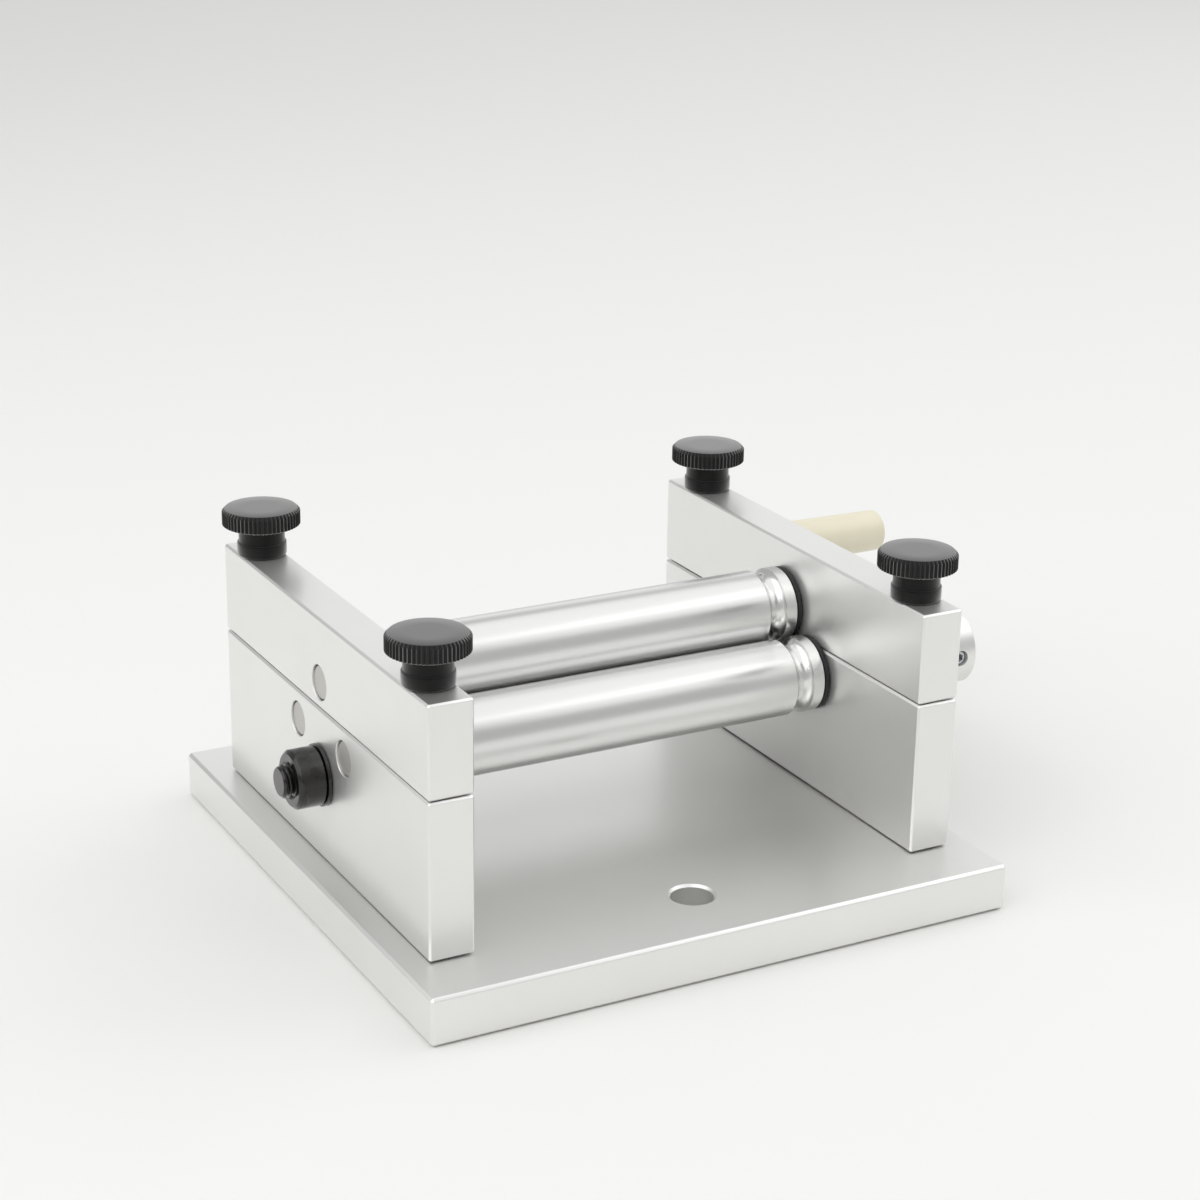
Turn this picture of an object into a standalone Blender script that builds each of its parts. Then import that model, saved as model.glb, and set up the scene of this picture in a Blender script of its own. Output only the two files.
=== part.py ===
"""Three-roller plate bending machine for the bench.

A square base plate carries two side blocks. Two lower rollers run in the side blocks, and the
top roller runs in a pressure bar over each block. Four knurled thumb screws hold the bars down
against springs, so turning them sets the gap over the lower rollers. A crank turns the front
roller. The frame stands on +Z, x runs along the rollers, and the origin is at the middle of the
base plate's underside.
"""

import math

import bmesh
import bpy
from mathutils import Matrix, Vector

# Clearances
SEAT_GAP = 0.0003
RUNNING_CLEARANCE = 0.0003
SCREW_CLEARANCE = 0.0004

# Base plate
BASE_WIDTH = 0.150
BASE_DEPTH = 0.150
BASE_THICKNESS = 0.0115
BASE_CHAMFER = 0.0007
MOUNT_HOLE_DIAMETER = 0.0102
MOUNT_HOLE_SETBACK = 0.0195
MOUNT_HOLE_CHAMFER = 0.0006

# Side blocks and pressure bars
BLOCK_INSET = 0.0065
BLOCK_THICKNESS = 0.011
BLOCK_LENGTH = 0.120
LOWER_BLOCK_HEIGHT = 0.0377
PRESSURE_BAR_HEIGHT = 0.0222
BLOCK_CHAMFER = 0.0005
BORE_CHAMFER = 0.0002

# Rollers
ROLLER_DIAMETER = 0.019
LOWER_ROLLER_GAP = 0.0082
NIP_GAP = 0.0004
SPLIT_OFFSET = 0.0003
ROLLER_CHAMFER = 0.0004
JOURNAL_DIAMETER = 0.008
JOURNAL_RECESS = 0.0004
JOURNAL_CHAMFER = 0.0005
COLLAR_WIDTH = 0.0031
GROOVE_WIDTH = 0.0048
GROOVE_DEPTH = 0.0018

# Thrust washers between a roller's end and a block
THRUST_WASHER_THICKNESS = 0.0012
THRUST_WASHER_SETBACK = 0.0002

# Stay bar between the side blocks, with a stud, a washer and a round nut at each end
STAY_BAR_DIAMETER = 0.012
STAY_ROLLER_CLEARANCE = 0.00085
STAY_STUD_DIAMETER = 0.008
STAY_STUD_LENGTH = 0.034
STAY_STUD_PROUD = 0.0026
STAY_NUT_DIAMETER = 0.0142
STAY_NUT_HEIGHT = 0.0066
STAY_WASHER_DIAMETER = 0.0150
STAY_WASHER_THICKNESS = 0.0008
TAPPED_RUNOUT = 0.0015

# Cap screws that hold each side block from under the base plate
BASE_SCREW_DIAMETER = 0.005
BASE_SCREW_LENGTH = 0.020
BASE_SCREW_HEAD_DIAMETER = 0.0085
BASE_SCREW_HEAD_HEIGHT = 0.005
BASE_SCREW_SOCKET = 0.004
BASE_SCREW_SETBACK = 0.020
BASE_SCREW_RECESS = 0.0005
COUNTERBORE_CLEARANCE = 0.0005
HEAD_CHAMFER = 0.0008
SOCKET_DEPTH_SHARE = 0.5
SOCKET_TIP_SHARE = 0.2

# Thumb screws: a knurled black head on a steel stud
THUMB_SETBACK = 0.0115
STUD_DIAMETER = 0.005
STUD_REACH = 0.0220
STUD_IN_HEAD = 0.0085
STUD_CHAMFER = 0.0005
HEAD_DISC_DIAMETER = 0.019
HEAD_DISC_HEIGHT = 0.0044
HEAD_DISC_CHAMFER = 0.0008
HEAD_NECK_DIAMETER = 0.0112
HEAD_NECK_HEIGHT = 0.0041
HEAD_COLLAR_DIAMETER = 0.012
HEAD_COLLAR_HEIGHT = 0.0032
HEAD_COLLAR_CHAMFER = 0.0003
KNURL_PITCH = 0.00107
KNURL_DEPTH = 0.0004

# Lift springs in pockets round the studs
SPRING_WIRE = 0.0007
SPRING_STUD_CLEARANCE = 0.00055
SPRING_POCKET_CLEARANCE = 0.0003
SPRING_POCKET_DEPTH = 0.008
SPRING_TURNS = 4
SPRING_POINTS_PER_TURN = 8

# Crank
CRANK_STANDOFF = 0.0230
CRANK_LENGTH = 0.0885
CRANK_ARM_WIDTH = 0.019
CRANK_ARM_THICKNESS = 0.010
CRANK_ARM_CHAMFER = 0.0006
SHAFT_PROUD = 0.0005
SHAFT_FLAT_DEPTH = 0.0007
SHAFT_FLAT_RUNOUT = 0.001
SET_SCREW_DIAMETER = 0.004
SET_SCREW_SOCKET = 0.002
SET_SCREW_SOCKET_DEPTH = 0.002
SET_SCREW_RECESS = 0.0008
SPINDLE_DIAMETER = 0.006
SPINDLE_THREAD_DIAMETER = 0.005
SPINDLE_HEAD_DIAMETER = 0.0085
SPINDLE_HEAD_HEIGHT = 0.003
SPINDLE_HEAD_RECESS = 0.0008
SPINDLE_THREAD_RECESS = 0.0005
SPINDLE_SOCKET = 0.003
GRIP_LENGTH = 0.0342
GRIP_ROOT_DIAMETER = 0.0127
GRIP_END_DIAMETER = 0.0116
GRIP_ROUNDING = 0.0009

# Facets of the round pieces
ROLLER_SEGMENTS = 32
HOLE_SEGMENTS = 24
SMALL_SEGMENTS = 16
GROOVE_STEPS = 6
ROUNDING_STEPS = 2
ARM_END_STEPS = 12

# How far a cutter runs past the face it opens, and the rise of a drill point for its radius
CUTTER_OVERRUN = 0.001
DRILL_POINT_SLOPE = math.tan(math.radians(31))
SMOOTH_ANGLE = math.radians(32)
SAME_POINT = 1e-7

# Places worked out from the sizes above
outer_face_x = BASE_WIDTH / 2 - BLOCK_INSET
inner_face_x = outer_face_x - BLOCK_THICKNESS
block_centre_x = (outer_face_x + inner_face_x) / 2
block_bottom_z = BASE_THICKNESS + SEAT_GAP
split_z = block_bottom_z + LOWER_BLOCK_HEIGHT
bar_bottom_z = split_z + SEAT_GAP
bar_top_z = bar_bottom_z + PRESSURE_BAR_HEIGHT
roller_radius = ROLLER_DIAMETER / 2
lower_axis_y = (ROLLER_DIAMETER + LOWER_ROLLER_GAP) / 2
axis_rise = math.sqrt((ROLLER_DIAMETER + NIP_GAP) ** 2 - lower_axis_y**2)
lower_axis_z = split_z - axis_rise / 2 - SPLIT_OFFSET
top_axis_z = lower_axis_z + axis_rise
bore_radius = JOURNAL_DIAMETER / 2 + RUNNING_CLEARANCE
washer_radius = roller_radius - THRUST_WASHER_SETBACK
washer_outer_x = inner_face_x - SEAT_GAP
roller_end_x = washer_outer_x - THRUST_WASHER_THICKNESS - SEAT_GAP
journal_end_x = outer_face_x - JOURNAL_RECESS
stay_centre_distance = roller_radius + STAY_BAR_DIAMETER / 2 + STAY_ROLLER_CLEARANCE
stay_axis_z = lower_axis_z - math.sqrt(stay_centre_distance**2 - lower_axis_y**2)
stay_hole_radius = STAY_STUD_DIAMETER / 2 + SCREW_CLEARANCE
stay_nut_x = outer_face_x + SEAT_GAP + STAY_WASHER_THICKNESS + SEAT_GAP
stay_stud_end_x = stay_nut_x + STAY_NUT_HEIGHT + STAY_STUD_PROUD
thumb_y = BLOCK_LENGTH / 2 - THUMB_SETBACK
stud_radius = STUD_DIAMETER / 2
coil_radius = stud_radius + SPRING_STUD_CLEARANCE + SPRING_WIRE / 2
pocket_radius = coil_radius + SPRING_WIRE / 2 + SPRING_POCKET_CLEARANCE
stud_bottom_z = split_z - STUD_REACH
head_bottom_z = bar_top_z + SEAT_GAP
stud_top_z = head_bottom_z + STUD_IN_HEAD
base_screw_y = BLOCK_LENGTH / 2 - BASE_SCREW_SETBACK
mount_hole_y = BASE_DEPTH / 2 - MOUNT_HOLE_SETBACK
arm_inner_x = outer_face_x + CRANK_STANDOFF
arm_outer_x = arm_inner_x + CRANK_ARM_THICKNESS
arm_centre_x = (arm_inner_x + arm_outer_x) / 2
crank_axis_y = -lower_axis_y
handle_axis_y = crank_axis_y + CRANK_LENGTH
grip_start_x = arm_outer_x + SEAT_GAP

ALONG_X = Matrix.Rotation(math.radians(90), 4, "Y")
ALONG_MINUS_X = Matrix.Rotation(math.radians(-90), 4, "Y")
ALONG_Y = Matrix.Rotation(math.radians(-90), 4, "X")
UPSIDE_DOWN = Matrix.Rotation(math.radians(180), 4, "X")


def clear_scene():
    """Remove every object, so that the model starts from an empty scene."""
    for item in list(bpy.data.objects):
        bpy.data.objects.remove(item, do_unlink=True)


def finish(name, colour, roughness, metallic):
    """Make a Principled material from a linear colour, a roughness and a metallic value."""
    material = bpy.data.materials.new(name)
    material.use_nodes = True
    shader = material.node_tree.nodes["Principled BSDF"]
    shader.inputs["Base Color"].default_value = (*colour, 1.0)
    shader.inputs["Roughness"].default_value = roughness
    shader.inputs["Metallic"].default_value = metallic
    return material


def satin_aluminium():
    return finish("satin_aluminium", (0.78, 0.78, 0.77), 0.38, 1.0)


def turned_steel():
    return finish("turned_steel", (0.80, 0.80, 0.80), 0.22, 1.0)


def black_oxide_steel():
    return finish("black_oxide_steel", (0.030, 0.030, 0.032), 0.42, 0.6)


def black_plastic():
    return finish("black_plastic", (0.022, 0.021, 0.021), 0.45, 0.0)


def black_nylon():
    return finish("black_nylon", (0.018, 0.018, 0.018), 0.60, 0.0)


def zinc_steel():
    return finish("zinc_steel", (0.62, 0.63, 0.64), 0.32, 1.0)


def spring_steel():
    return finish("spring_steel", (0.55, 0.55, 0.56), 0.30, 1.0)


def cream_plastic():
    return finish("cream_plastic", (0.74, 0.70, 0.52), 0.40, 0.0)


def add_object(name, bm, material, place=(0, 0, 0), parent=None):
    """Turn a bmesh into a named object that stands at a place in its parent's space."""
    mesh = bpy.data.meshes.new(name)
    bm.to_mesh(mesh)
    bm.free()
    mesh.shade_smooth()
    mesh.set_sharp_from_angle(angle=SMOOTH_ANGLE)
    mesh.materials.append(material)
    item = bpy.data.objects.new(name, mesh)
    bpy.context.collection.objects.link(item)
    if parent is not None:
        item.parent = parent
        item.location = Vector(place) - parent.location
    else:
        item.location = place
    return item


def add_axis(name, place):
    """Add an empty that marks a joint's axis and carries the pieces that move on it."""
    empty = bpy.data.objects.new(name, None)
    empty.location = place
    bpy.context.collection.objects.link(empty)
    return empty


def close_mesh(bm):
    """Merge the seam and the poles, and point every face outwards."""
    bmesh.ops.remove_doubles(bm, verts=bm.verts[:], dist=SAME_POINT)
    bmesh.ops.recalc_face_normals(bm, faces=bm.faces[:])
    return bm


def chamfered_box(size, chamfer):
    """A box about the origin with every edge chamfered."""
    bm = bmesh.new()
    bmesh.ops.create_cube(bm, size=1.0)
    bmesh.ops.scale(bm, vec=size, verts=bm.verts[:])
    bmesh.ops.bevel(bm, geom=bm.edges[:], offset=chamfer, segments=1, affect="EDGES")
    return bm


def turned(profile, segments, ring=False, into=None):
    """Spin (radius, height) points about Z. A ring's profile closes on itself, round a bore."""
    bm = bmesh.new()
    points = [bm.verts.new((radius, 0, height)) for radius, height in profile]
    edges = [bm.edges.new(pair) for pair in zip(points, points[1:])]
    if ring:
        edges.append(bm.edges.new((points[-1], points[0])))
    bmesh.ops.spin(
        bm,
        geom=points + edges,
        cent=(0, 0, 0),
        axis=(0, 0, 1),
        angle=math.tau,
        steps=segments,
        use_merge=True,
    )
    close_mesh(bm)
    if into is not None:
        bm.transform(into)
    return bm


def lofted(rings):
    """Join rings of points with the same count by faces, and cap both ends."""
    bm = bmesh.new()
    loops = [[bm.verts.new(point) for point in ring] for ring in rings]
    for low, high in zip(loops, loops[1:]):
        for i, start in enumerate(low):
            after = (i + 1) % len(low)
            bm.faces.new((start, low[after], high[after], high[i]))
    bm.faces.new(loops[0][::-1])
    bm.faces.new(loops[-1])
    bmesh.ops.recalc_face_normals(bm, faces=bm.faces[:])
    return bm


def moved(bm, offset):
    """Shift a bmesh by an offset."""
    bmesh.ops.translate(bm, vec=offset, verts=bm.verts[:])
    return bm


def combine(target, tool_name, tool_bm, operation):
    """Cut or join a target with a guide shape that is given in the target's own space."""
    mesh = bpy.data.meshes.new(tool_name)
    tool_bm.to_mesh(mesh)
    tool_bm.free()
    tool = bpy.data.objects.new(tool_name, mesh)
    bpy.context.collection.objects.link(tool)
    tool.parent = target
    tool.hide_render = True
    tool.display_type = "WIRE"
    modifier = target.modifiers.new(tool_name, "BOOLEAN")
    modifier.operation = operation
    modifier.solver = "EXACT"
    modifier.object = tool


def cut(target, tool_name, tool_bm):
    combine(target, tool_name, tool_bm, "DIFFERENCE")


def through_hole(radius, length, chamfer=BORE_CHAMFER):
    """A cutter along Z, centred, for a hole through a wall with a chamfer at both mouths."""
    half = length / 2
    reach = half + CUTTER_OVERRUN
    wide = radius + chamfer + CUTTER_OVERRUN
    return [
        (0, reach),
        (wide, reach),
        (radius, half - chamfer),
        (radius, chamfer - half),
        (wide, -reach),
        (0, -reach),
    ]


def hexagon(across_flats, height):
    """Six points of a hexagon across Z at a height."""
    radius = across_flats / math.sqrt(3)
    angles = [math.radians(60 * i) for i in range(6)]
    return [Vector((radius * math.cos(a), radius * math.sin(a), height)) for a in angles]


def hex_socket(across_flats, depth):
    """A cutter for a hexagon socket that opens at the origin, towards +Z, with a drilled cone below."""
    cone = across_flats / 2 * DRILL_POINT_SLOPE
    tip = hexagon(across_flats * SOCKET_TIP_SHARE, -depth - cone)
    return lofted([tip, hexagon(across_flats, -depth), hexagon(across_flats, CUTTER_OVERRUN)])


def cap_screw_profile(diameter, length, head_diameter, head_height):
    """A socket head cap screw along Z: the head's top at 0, the threaded end below."""
    head = head_diameter / 2
    shank = diameter / 2
    return [
        (0, 0),
        (head - HEAD_CHAMFER, 0),
        (head, -HEAD_CHAMFER),
        (head, -head_height),
        (shank, -head_height),
        (shank, STUD_CHAMFER - head_height - length),
        (shank - STUD_CHAMFER, -head_height - length),
        (0, -head_height - length),
    ]


def build_base_plate(material):
    """Square plate with two bench holes and a counterbored hole under each end of each block."""
    plate = add_object(
        "base_plate",
        chamfered_box((BASE_WIDTH, BASE_DEPTH, BASE_THICKNESS), BASE_CHAMFER),
        material,
        (0, 0, BASE_THICKNESS / 2),
    )
    bench_hole = through_hole(MOUNT_HOLE_DIAMETER / 2, BASE_THICKNESS, MOUNT_HOLE_CHAMFER)
    for end, side in (("front", -1), ("rear", 1)):
        hole = moved(turned(bench_hole, HOLE_SEGMENTS), (0, side * mount_hole_y, 0))
        cut(plate, f"{end}_bench_hole", hole)
    half = BASE_THICKNESS / 2
    floor = BASE_SCREW_RECESS + BASE_SCREW_HEAD_HEIGHT + SEAT_GAP - half
    bore = BASE_SCREW_HEAD_DIAMETER / 2 + COUNTERBORE_CLEARANCE
    neck = BASE_SCREW_DIAMETER / 2 + SCREW_CLEARANCE
    step = [
        (0, half + CUTTER_OVERRUN),
        (neck, half + CUTTER_OVERRUN),
        (neck, floor),
        (bore, floor),
        (bore, -half - CUTTER_OVERRUN),
        (0, -half - CUTTER_OVERRUN),
    ]
    for x_side in (-1, 1):
        for y_side in (-1, 1):
            hole = moved(turned(step, SMALL_SEGMENTS), (x_side * block_centre_x, y_side * base_screw_y, 0))
            cut(plate, f"counterbore_{x_side}_{y_side}", hole)
    return plate


def build_side_block(side_name, side, material):
    """Lower block with two journal bores, a stay stud hole, spring pockets and tapped holes."""
    centre_z = block_bottom_z + LOWER_BLOCK_HEIGHT / 2
    block = add_object(
        f"{side_name}_side_block",
        chamfered_box((BLOCK_THICKNESS, BLOCK_LENGTH, LOWER_BLOCK_HEIGHT), BLOCK_CHAMFER),
        material,
        (side * block_centre_x, 0, centre_z),
    )
    journal_bore = through_hole(bore_radius, BLOCK_THICKNESS)
    for end, y in (("front", -lower_axis_y), ("rear", lower_axis_y)):
        hole = moved(turned(journal_bore, HOLE_SEGMENTS, into=ALONG_X), (0, y, lower_axis_z - centre_z))
        cut(block, f"{side_name}_{end}_bore", hole)
    stay_hole = turned(through_hole(stay_hole_radius, BLOCK_THICKNESS), HOLE_SEGMENTS, into=ALONG_X)
    cut(block, f"{side_name}_stay_hole", moved(stay_hole, (0, 0, stay_axis_z - centre_z)))
    top = LOWER_BLOCK_HEIGHT / 2
    tapped = stud_radius + RUNNING_CLEARANCE
    pocket = [
        (0, top + CUTTER_OVERRUN),
        (pocket_radius, top + CUTTER_OVERRUN),
        (pocket_radius, top - SPRING_POCKET_DEPTH),
        (tapped, top - SPRING_POCKET_DEPTH),
        (tapped, top - STUD_REACH - TAPPED_RUNOUT),
        (0, top - STUD_REACH - TAPPED_RUNOUT - tapped * DRILL_POINT_SLOPE),
    ]
    base_tap = BASE_SCREW_DIAMETER / 2 + RUNNING_CLEARANCE
    tap_top = BASE_SCREW_RECESS + BASE_SCREW_HEAD_HEIGHT + BASE_SCREW_LENGTH + TAPPED_RUNOUT - centre_z
    tap = [
        (0, tap_top + base_tap * DRILL_POINT_SLOPE),
        (base_tap, tap_top),
        (base_tap, -top - CUTTER_OVERRUN),
        (0, -top - CUTTER_OVERRUN),
    ]
    for end, y_side in (("front", -1), ("rear", 1)):
        pocket_cut = moved(turned(pocket, SMALL_SEGMENTS), (0, y_side * thumb_y, 0))
        cut(block, f"{side_name}_{end}_pocket", pocket_cut)
        tap_cut = moved(turned(tap, SMALL_SEGMENTS), (0, y_side * base_screw_y, 0))
        cut(block, f"{side_name}_{end}_tap", tap_cut)
    return block


def build_pressure_bar(side_name, side, material, lift_axis):
    """Upper bar with the top roller's bore and a clearance hole for each thumb screw."""
    centre_z = (bar_bottom_z + bar_top_z) / 2
    bar = add_object(
        f"{side_name}_pressure_bar",
        chamfered_box((BLOCK_THICKNESS, BLOCK_LENGTH, PRESSURE_BAR_HEIGHT), BLOCK_CHAMFER),
        material,
        (side * block_centre_x, 0, centre_z),
        lift_axis,
    )
    bore = turned(through_hole(bore_radius, BLOCK_THICKNESS), HOLE_SEGMENTS, into=ALONG_X)
    cut(bar, f"{side_name}_top_bore", moved(bore, (0, 0, top_axis_z - centre_z)))
    stud_hole = through_hole(stud_radius + SCREW_CLEARANCE, PRESSURE_BAR_HEIGHT)
    for end, y_side in (("front", -1), ("rear", 1)):
        hole = moved(turned(stud_hole, SMALL_SEGMENTS), (0, y_side * thumb_y, 0))
        cut(bar, f"{side_name}_{end}_stud_hole", hole)
    return bar


def groove_arc(centre, width, depth):
    """Points of a round groove across a roller, from its -X lip to its +X lip."""
    half = width / 2
    arc_radius = (half**2 + depth**2) / (2 * depth)
    centre_radius = roller_radius - depth + arc_radius
    spread = math.asin(half / arc_radius)
    if depth > arc_radius:
        spread = math.pi - spread
    arc = []
    for i in range(GROOVE_STEPS + 1):
        angle = spread * (2 * i / GROOVE_STEPS - 1)
        arc.append((centre_radius - arc_radius * math.cos(angle), centre + arc_radius * math.sin(angle)))
    return arc


def roller_profile(right_end):
    """A roller with its journals, and a wire groove and a collar at the right-hand end."""
    journal = JOURNAL_DIAMETER / 2
    groove_centre = roller_end_x - COLLAR_WIDTH - GROOVE_WIDTH / 2
    return [
        (0, -journal_end_x),
        (journal - JOURNAL_CHAMFER, -journal_end_x),
        (journal, JOURNAL_CHAMFER - journal_end_x),
        (journal, -roller_end_x),
        (roller_radius - ROLLER_CHAMFER, -roller_end_x),
        (roller_radius, ROLLER_CHAMFER - roller_end_x),
        *groove_arc(groove_centre, GROOVE_WIDTH, GROOVE_DEPTH),
        (roller_radius, roller_end_x - ROLLER_CHAMFER),
        (roller_radius - ROLLER_CHAMFER, roller_end_x),
        (journal, roller_end_x),
        (journal, right_end - JOURNAL_CHAMFER),
        (journal - JOURNAL_CHAMFER, right_end),
        (0, right_end),
    ]


def build_roller(name, axis_y, axis_z, right_end, material, parent):
    """One roller, its origin on its own axis."""
    body = turned(roller_profile(right_end), ROLLER_SEGMENTS, into=ALONG_X)
    return add_object(name, body, material, (0, axis_y, axis_z), parent)


def build_drive_flat(roller):
    """Mill the flat that the crank's set screw bears on, at the end of the drive shaft."""
    shaft_end = arm_outer_x + SHAFT_PROUD
    start = arm_inner_x - SHAFT_FLAT_RUNOUT
    length = shaft_end + CUTTER_OVERRUN - start
    block = bmesh.new()
    bmesh.ops.create_cube(block, size=1.0)
    bmesh.ops.scale(block, vec=(length, JOURNAL_DIAMETER, 2 * JOURNAL_DIAMETER), verts=block.verts[:])
    flat_y = -(JOURNAL_DIAMETER / 2 - SHAFT_FLAT_DEPTH)
    cut(roller, "drive_flat", moved(block, (start + length / 2, flat_y - JOURNAL_DIAMETER / 2, 0)))


def build_thrust_washer(name, side, axis_y, axis_z, material, parent):
    """A plain washer that keeps a roller's end off a block."""
    inner = washer_outer_x - THRUST_WASHER_THICKNESS
    profile = [
        (bore_radius, inner),
        (bore_radius, washer_outer_x),
        (washer_radius, washer_outer_x),
        (washer_radius, inner),
    ]
    body = turned(profile, HOLE_SEGMENTS, ring=True, into=ALONG_X if side > 0 else ALONG_MINUS_X)
    return add_object(name, body, material, (0, axis_y, axis_z), parent)


def build_stay_bar(material):
    """Round bar between the side blocks, drilled and tapped at both ends."""
    end = inner_face_x - SEAT_GAP
    radius = STAY_BAR_DIAMETER / 2
    tapped = STAY_STUD_DIAMETER / 2 + RUNNING_CLEARANCE
    hole_end = stay_stud_end_x - STAY_STUD_LENGTH - TAPPED_RUNOUT
    profile = [
        (0, tapped * DRILL_POINT_SLOPE - hole_end),
        (tapped, -hole_end),
        (tapped, -end),
        (radius - JOURNAL_CHAMFER, -end),
        (radius, JOURNAL_CHAMFER - end),
        (radius, end - JOURNAL_CHAMFER),
        (radius - JOURNAL_CHAMFER, end),
        (tapped, end),
        (tapped, hole_end),
        (0, hole_end - tapped * DRILL_POINT_SLOPE),
    ]
    body = turned(profile, HOLE_SEGMENTS, into=ALONG_X)
    return add_object("stay_bar", body, material, (0, 0, stay_axis_z))


def build_stay_end(side_name, side, material):
    """Stud, washer and round nut that clamp a side block to one end of the stay bar."""
    into = ALONG_X if side > 0 else ALONG_MINUS_X
    centre = (0, 0, stay_axis_z)
    near = outer_face_x + SEAT_GAP
    far = near + STAY_WASHER_THICKNESS
    rim = STAY_WASHER_DIAMETER / 2
    washer = [(stay_hole_radius, near), (stay_hole_radius, far), (rim, far), (rim, near)]
    add_object(f"{side_name}_stay_washer", turned(washer, HOLE_SEGMENTS, ring=True, into=into), material, centre)
    nut_end = stay_nut_x + STAY_NUT_HEIGHT
    nut_rim = STAY_NUT_DIAMETER / 2
    nut = [
        (stay_hole_radius, stay_nut_x),
        (stay_hole_radius, nut_end),
        (nut_rim - HEAD_CHAMFER, nut_end),
        (nut_rim, nut_end - HEAD_CHAMFER),
        (nut_rim, stay_nut_x),
    ]
    add_object(f"{side_name}_stay_nut", turned(nut, HOLE_SEGMENTS, ring=True, into=into), material, centre)
    radius = STAY_STUD_DIAMETER / 2
    start = stay_stud_end_x - STAY_STUD_LENGTH
    stud = [
        (0, start),
        (radius - STUD_CHAMFER, start),
        (radius, start + STUD_CHAMFER),
        (radius, stay_stud_end_x - STUD_CHAMFER),
        (radius - STUD_CHAMFER, stay_stud_end_x),
        (0, stay_stud_end_x),
    ]
    add_object(f"{side_name}_stay_stud", turned(stud, HOLE_SEGMENTS, into=into), material, centre)


def build_base_screw(name, x, y, material):
    """One of the cap screws that hold a side block from under the base plate."""
    profile = cap_screw_profile(
        BASE_SCREW_DIAMETER, BASE_SCREW_LENGTH, BASE_SCREW_HEAD_DIAMETER, BASE_SCREW_HEAD_HEIGHT
    )
    body = turned(profile, SMALL_SEGMENTS, into=UPSIDE_DOWN)
    screw = add_object(name, body, material, (x, y, BASE_SCREW_RECESS))
    socket = hex_socket(BASE_SCREW_SOCKET, BASE_SCREW_HEAD_HEIGHT * SOCKET_DEPTH_SHARE)
    socket.transform(UPSIDE_DOWN)
    cut(screw, f"{name}_socket", socket)


def knurled_disc():
    """The thumb screw's disc: straight ribs round the rim, chamfered above."""
    radius = HEAD_DISC_DIAMETER / 2
    rib_count = round(math.tau * radius / KNURL_PITCH)
    lip = radius - HEAD_DISC_CHAMFER

    def ring(height, crest, valley):
        points = []
        for i in range(2 * rib_count):
            angle = math.pi * i / rib_count
            reach = crest if i % 2 == 0 else valley
            points.append(Vector((reach * math.cos(angle), reach * math.sin(angle), height)))
        return points

    valley = radius - KNURL_DEPTH
    return lofted(
        [
            ring(0, radius, valley),
            ring(HEAD_DISC_HEIGHT - HEAD_DISC_CHAMFER, radius, valley),
            ring(HEAD_DISC_HEIGHT, lip, lip),
        ]
    )


def build_thumb_screw(name, x, y, head_material, stud_material, lift_axis):
    """Knurled head with a neck and a collar, on a steel stud that reaches into the block."""
    axis = add_axis(f"{name}_axis", (x, y, head_bottom_z))
    axis.parent = lift_axis
    axis.location = Vector((x, y, head_bottom_z)) - lift_axis.location
    disc_bottom = HEAD_COLLAR_HEIGHT + HEAD_NECK_HEIGHT
    head = add_object(f"{name}_head", moved(knurled_disc(), (0, 0, disc_bottom)), head_material)
    head.parent = axis
    neck = HEAD_NECK_DIAMETER / 2
    collar = HEAD_COLLAR_DIAMETER / 2
    stem = [
        (0, 0),
        (collar - HEAD_COLLAR_CHAMFER, 0),
        (collar, HEAD_COLLAR_CHAMFER),
        (collar, HEAD_COLLAR_HEIGHT - HEAD_COLLAR_CHAMFER),
        (neck, HEAD_COLLAR_HEIGHT),
        (neck, disc_bottom + HEAD_DISC_HEIGHT / 2),
        (0, disc_bottom + HEAD_DISC_HEIGHT / 2),
    ]
    combine(head, f"{name}_stem", turned(stem, HOLE_SEGMENTS), "UNION")
    hole = stud_radius + SEAT_GAP
    socket = [
        (0, STUD_IN_HEAD + SEAT_GAP),
        (hole, STUD_IN_HEAD + SEAT_GAP),
        (hole, -CUTTER_OVERRUN),
        (0, -CUTTER_OVERRUN),
    ]
    cut(head, f"{name}_stud_socket", turned(socket, SMALL_SEGMENTS))
    top = stud_top_z - head_bottom_z
    bottom = stud_bottom_z - head_bottom_z
    stud = [
        (0, top),
        (stud_radius - STUD_CHAMFER, top),
        (stud_radius, top - STUD_CHAMFER),
        (stud_radius, bottom + STUD_CHAMFER),
        (stud_radius - STUD_CHAMFER, bottom),
        (0, bottom),
    ]
    stud_object = add_object(f"{name}_stud", turned(stud, SMALL_SEGMENTS), stud_material)
    stud_object.parent = axis


def coil_points(low, high):
    """The wire's centre line: an even helix between two heights."""
    count = SPRING_TURNS * SPRING_POINTS_PER_TURN
    points = []
    for i in range(count + 1):
        angle = math.tau * i / SPRING_POINTS_PER_TURN
        height = low + (high - low) * i / count
        points.append(Vector((coil_radius * math.cos(angle), coil_radius * math.sin(angle), height)))
    return points


def least_coil_gap(points):
    """The least gap between the wire's turns, measured on points half a turn or more apart."""
    half_turn = SPRING_POINTS_PER_TURN // 2
    least = math.inf
    for i, point in enumerate(points):
        for other in points[i + half_turn :]:
            least = min(least, (point - other).length - SPRING_WIRE)
    return least


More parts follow.
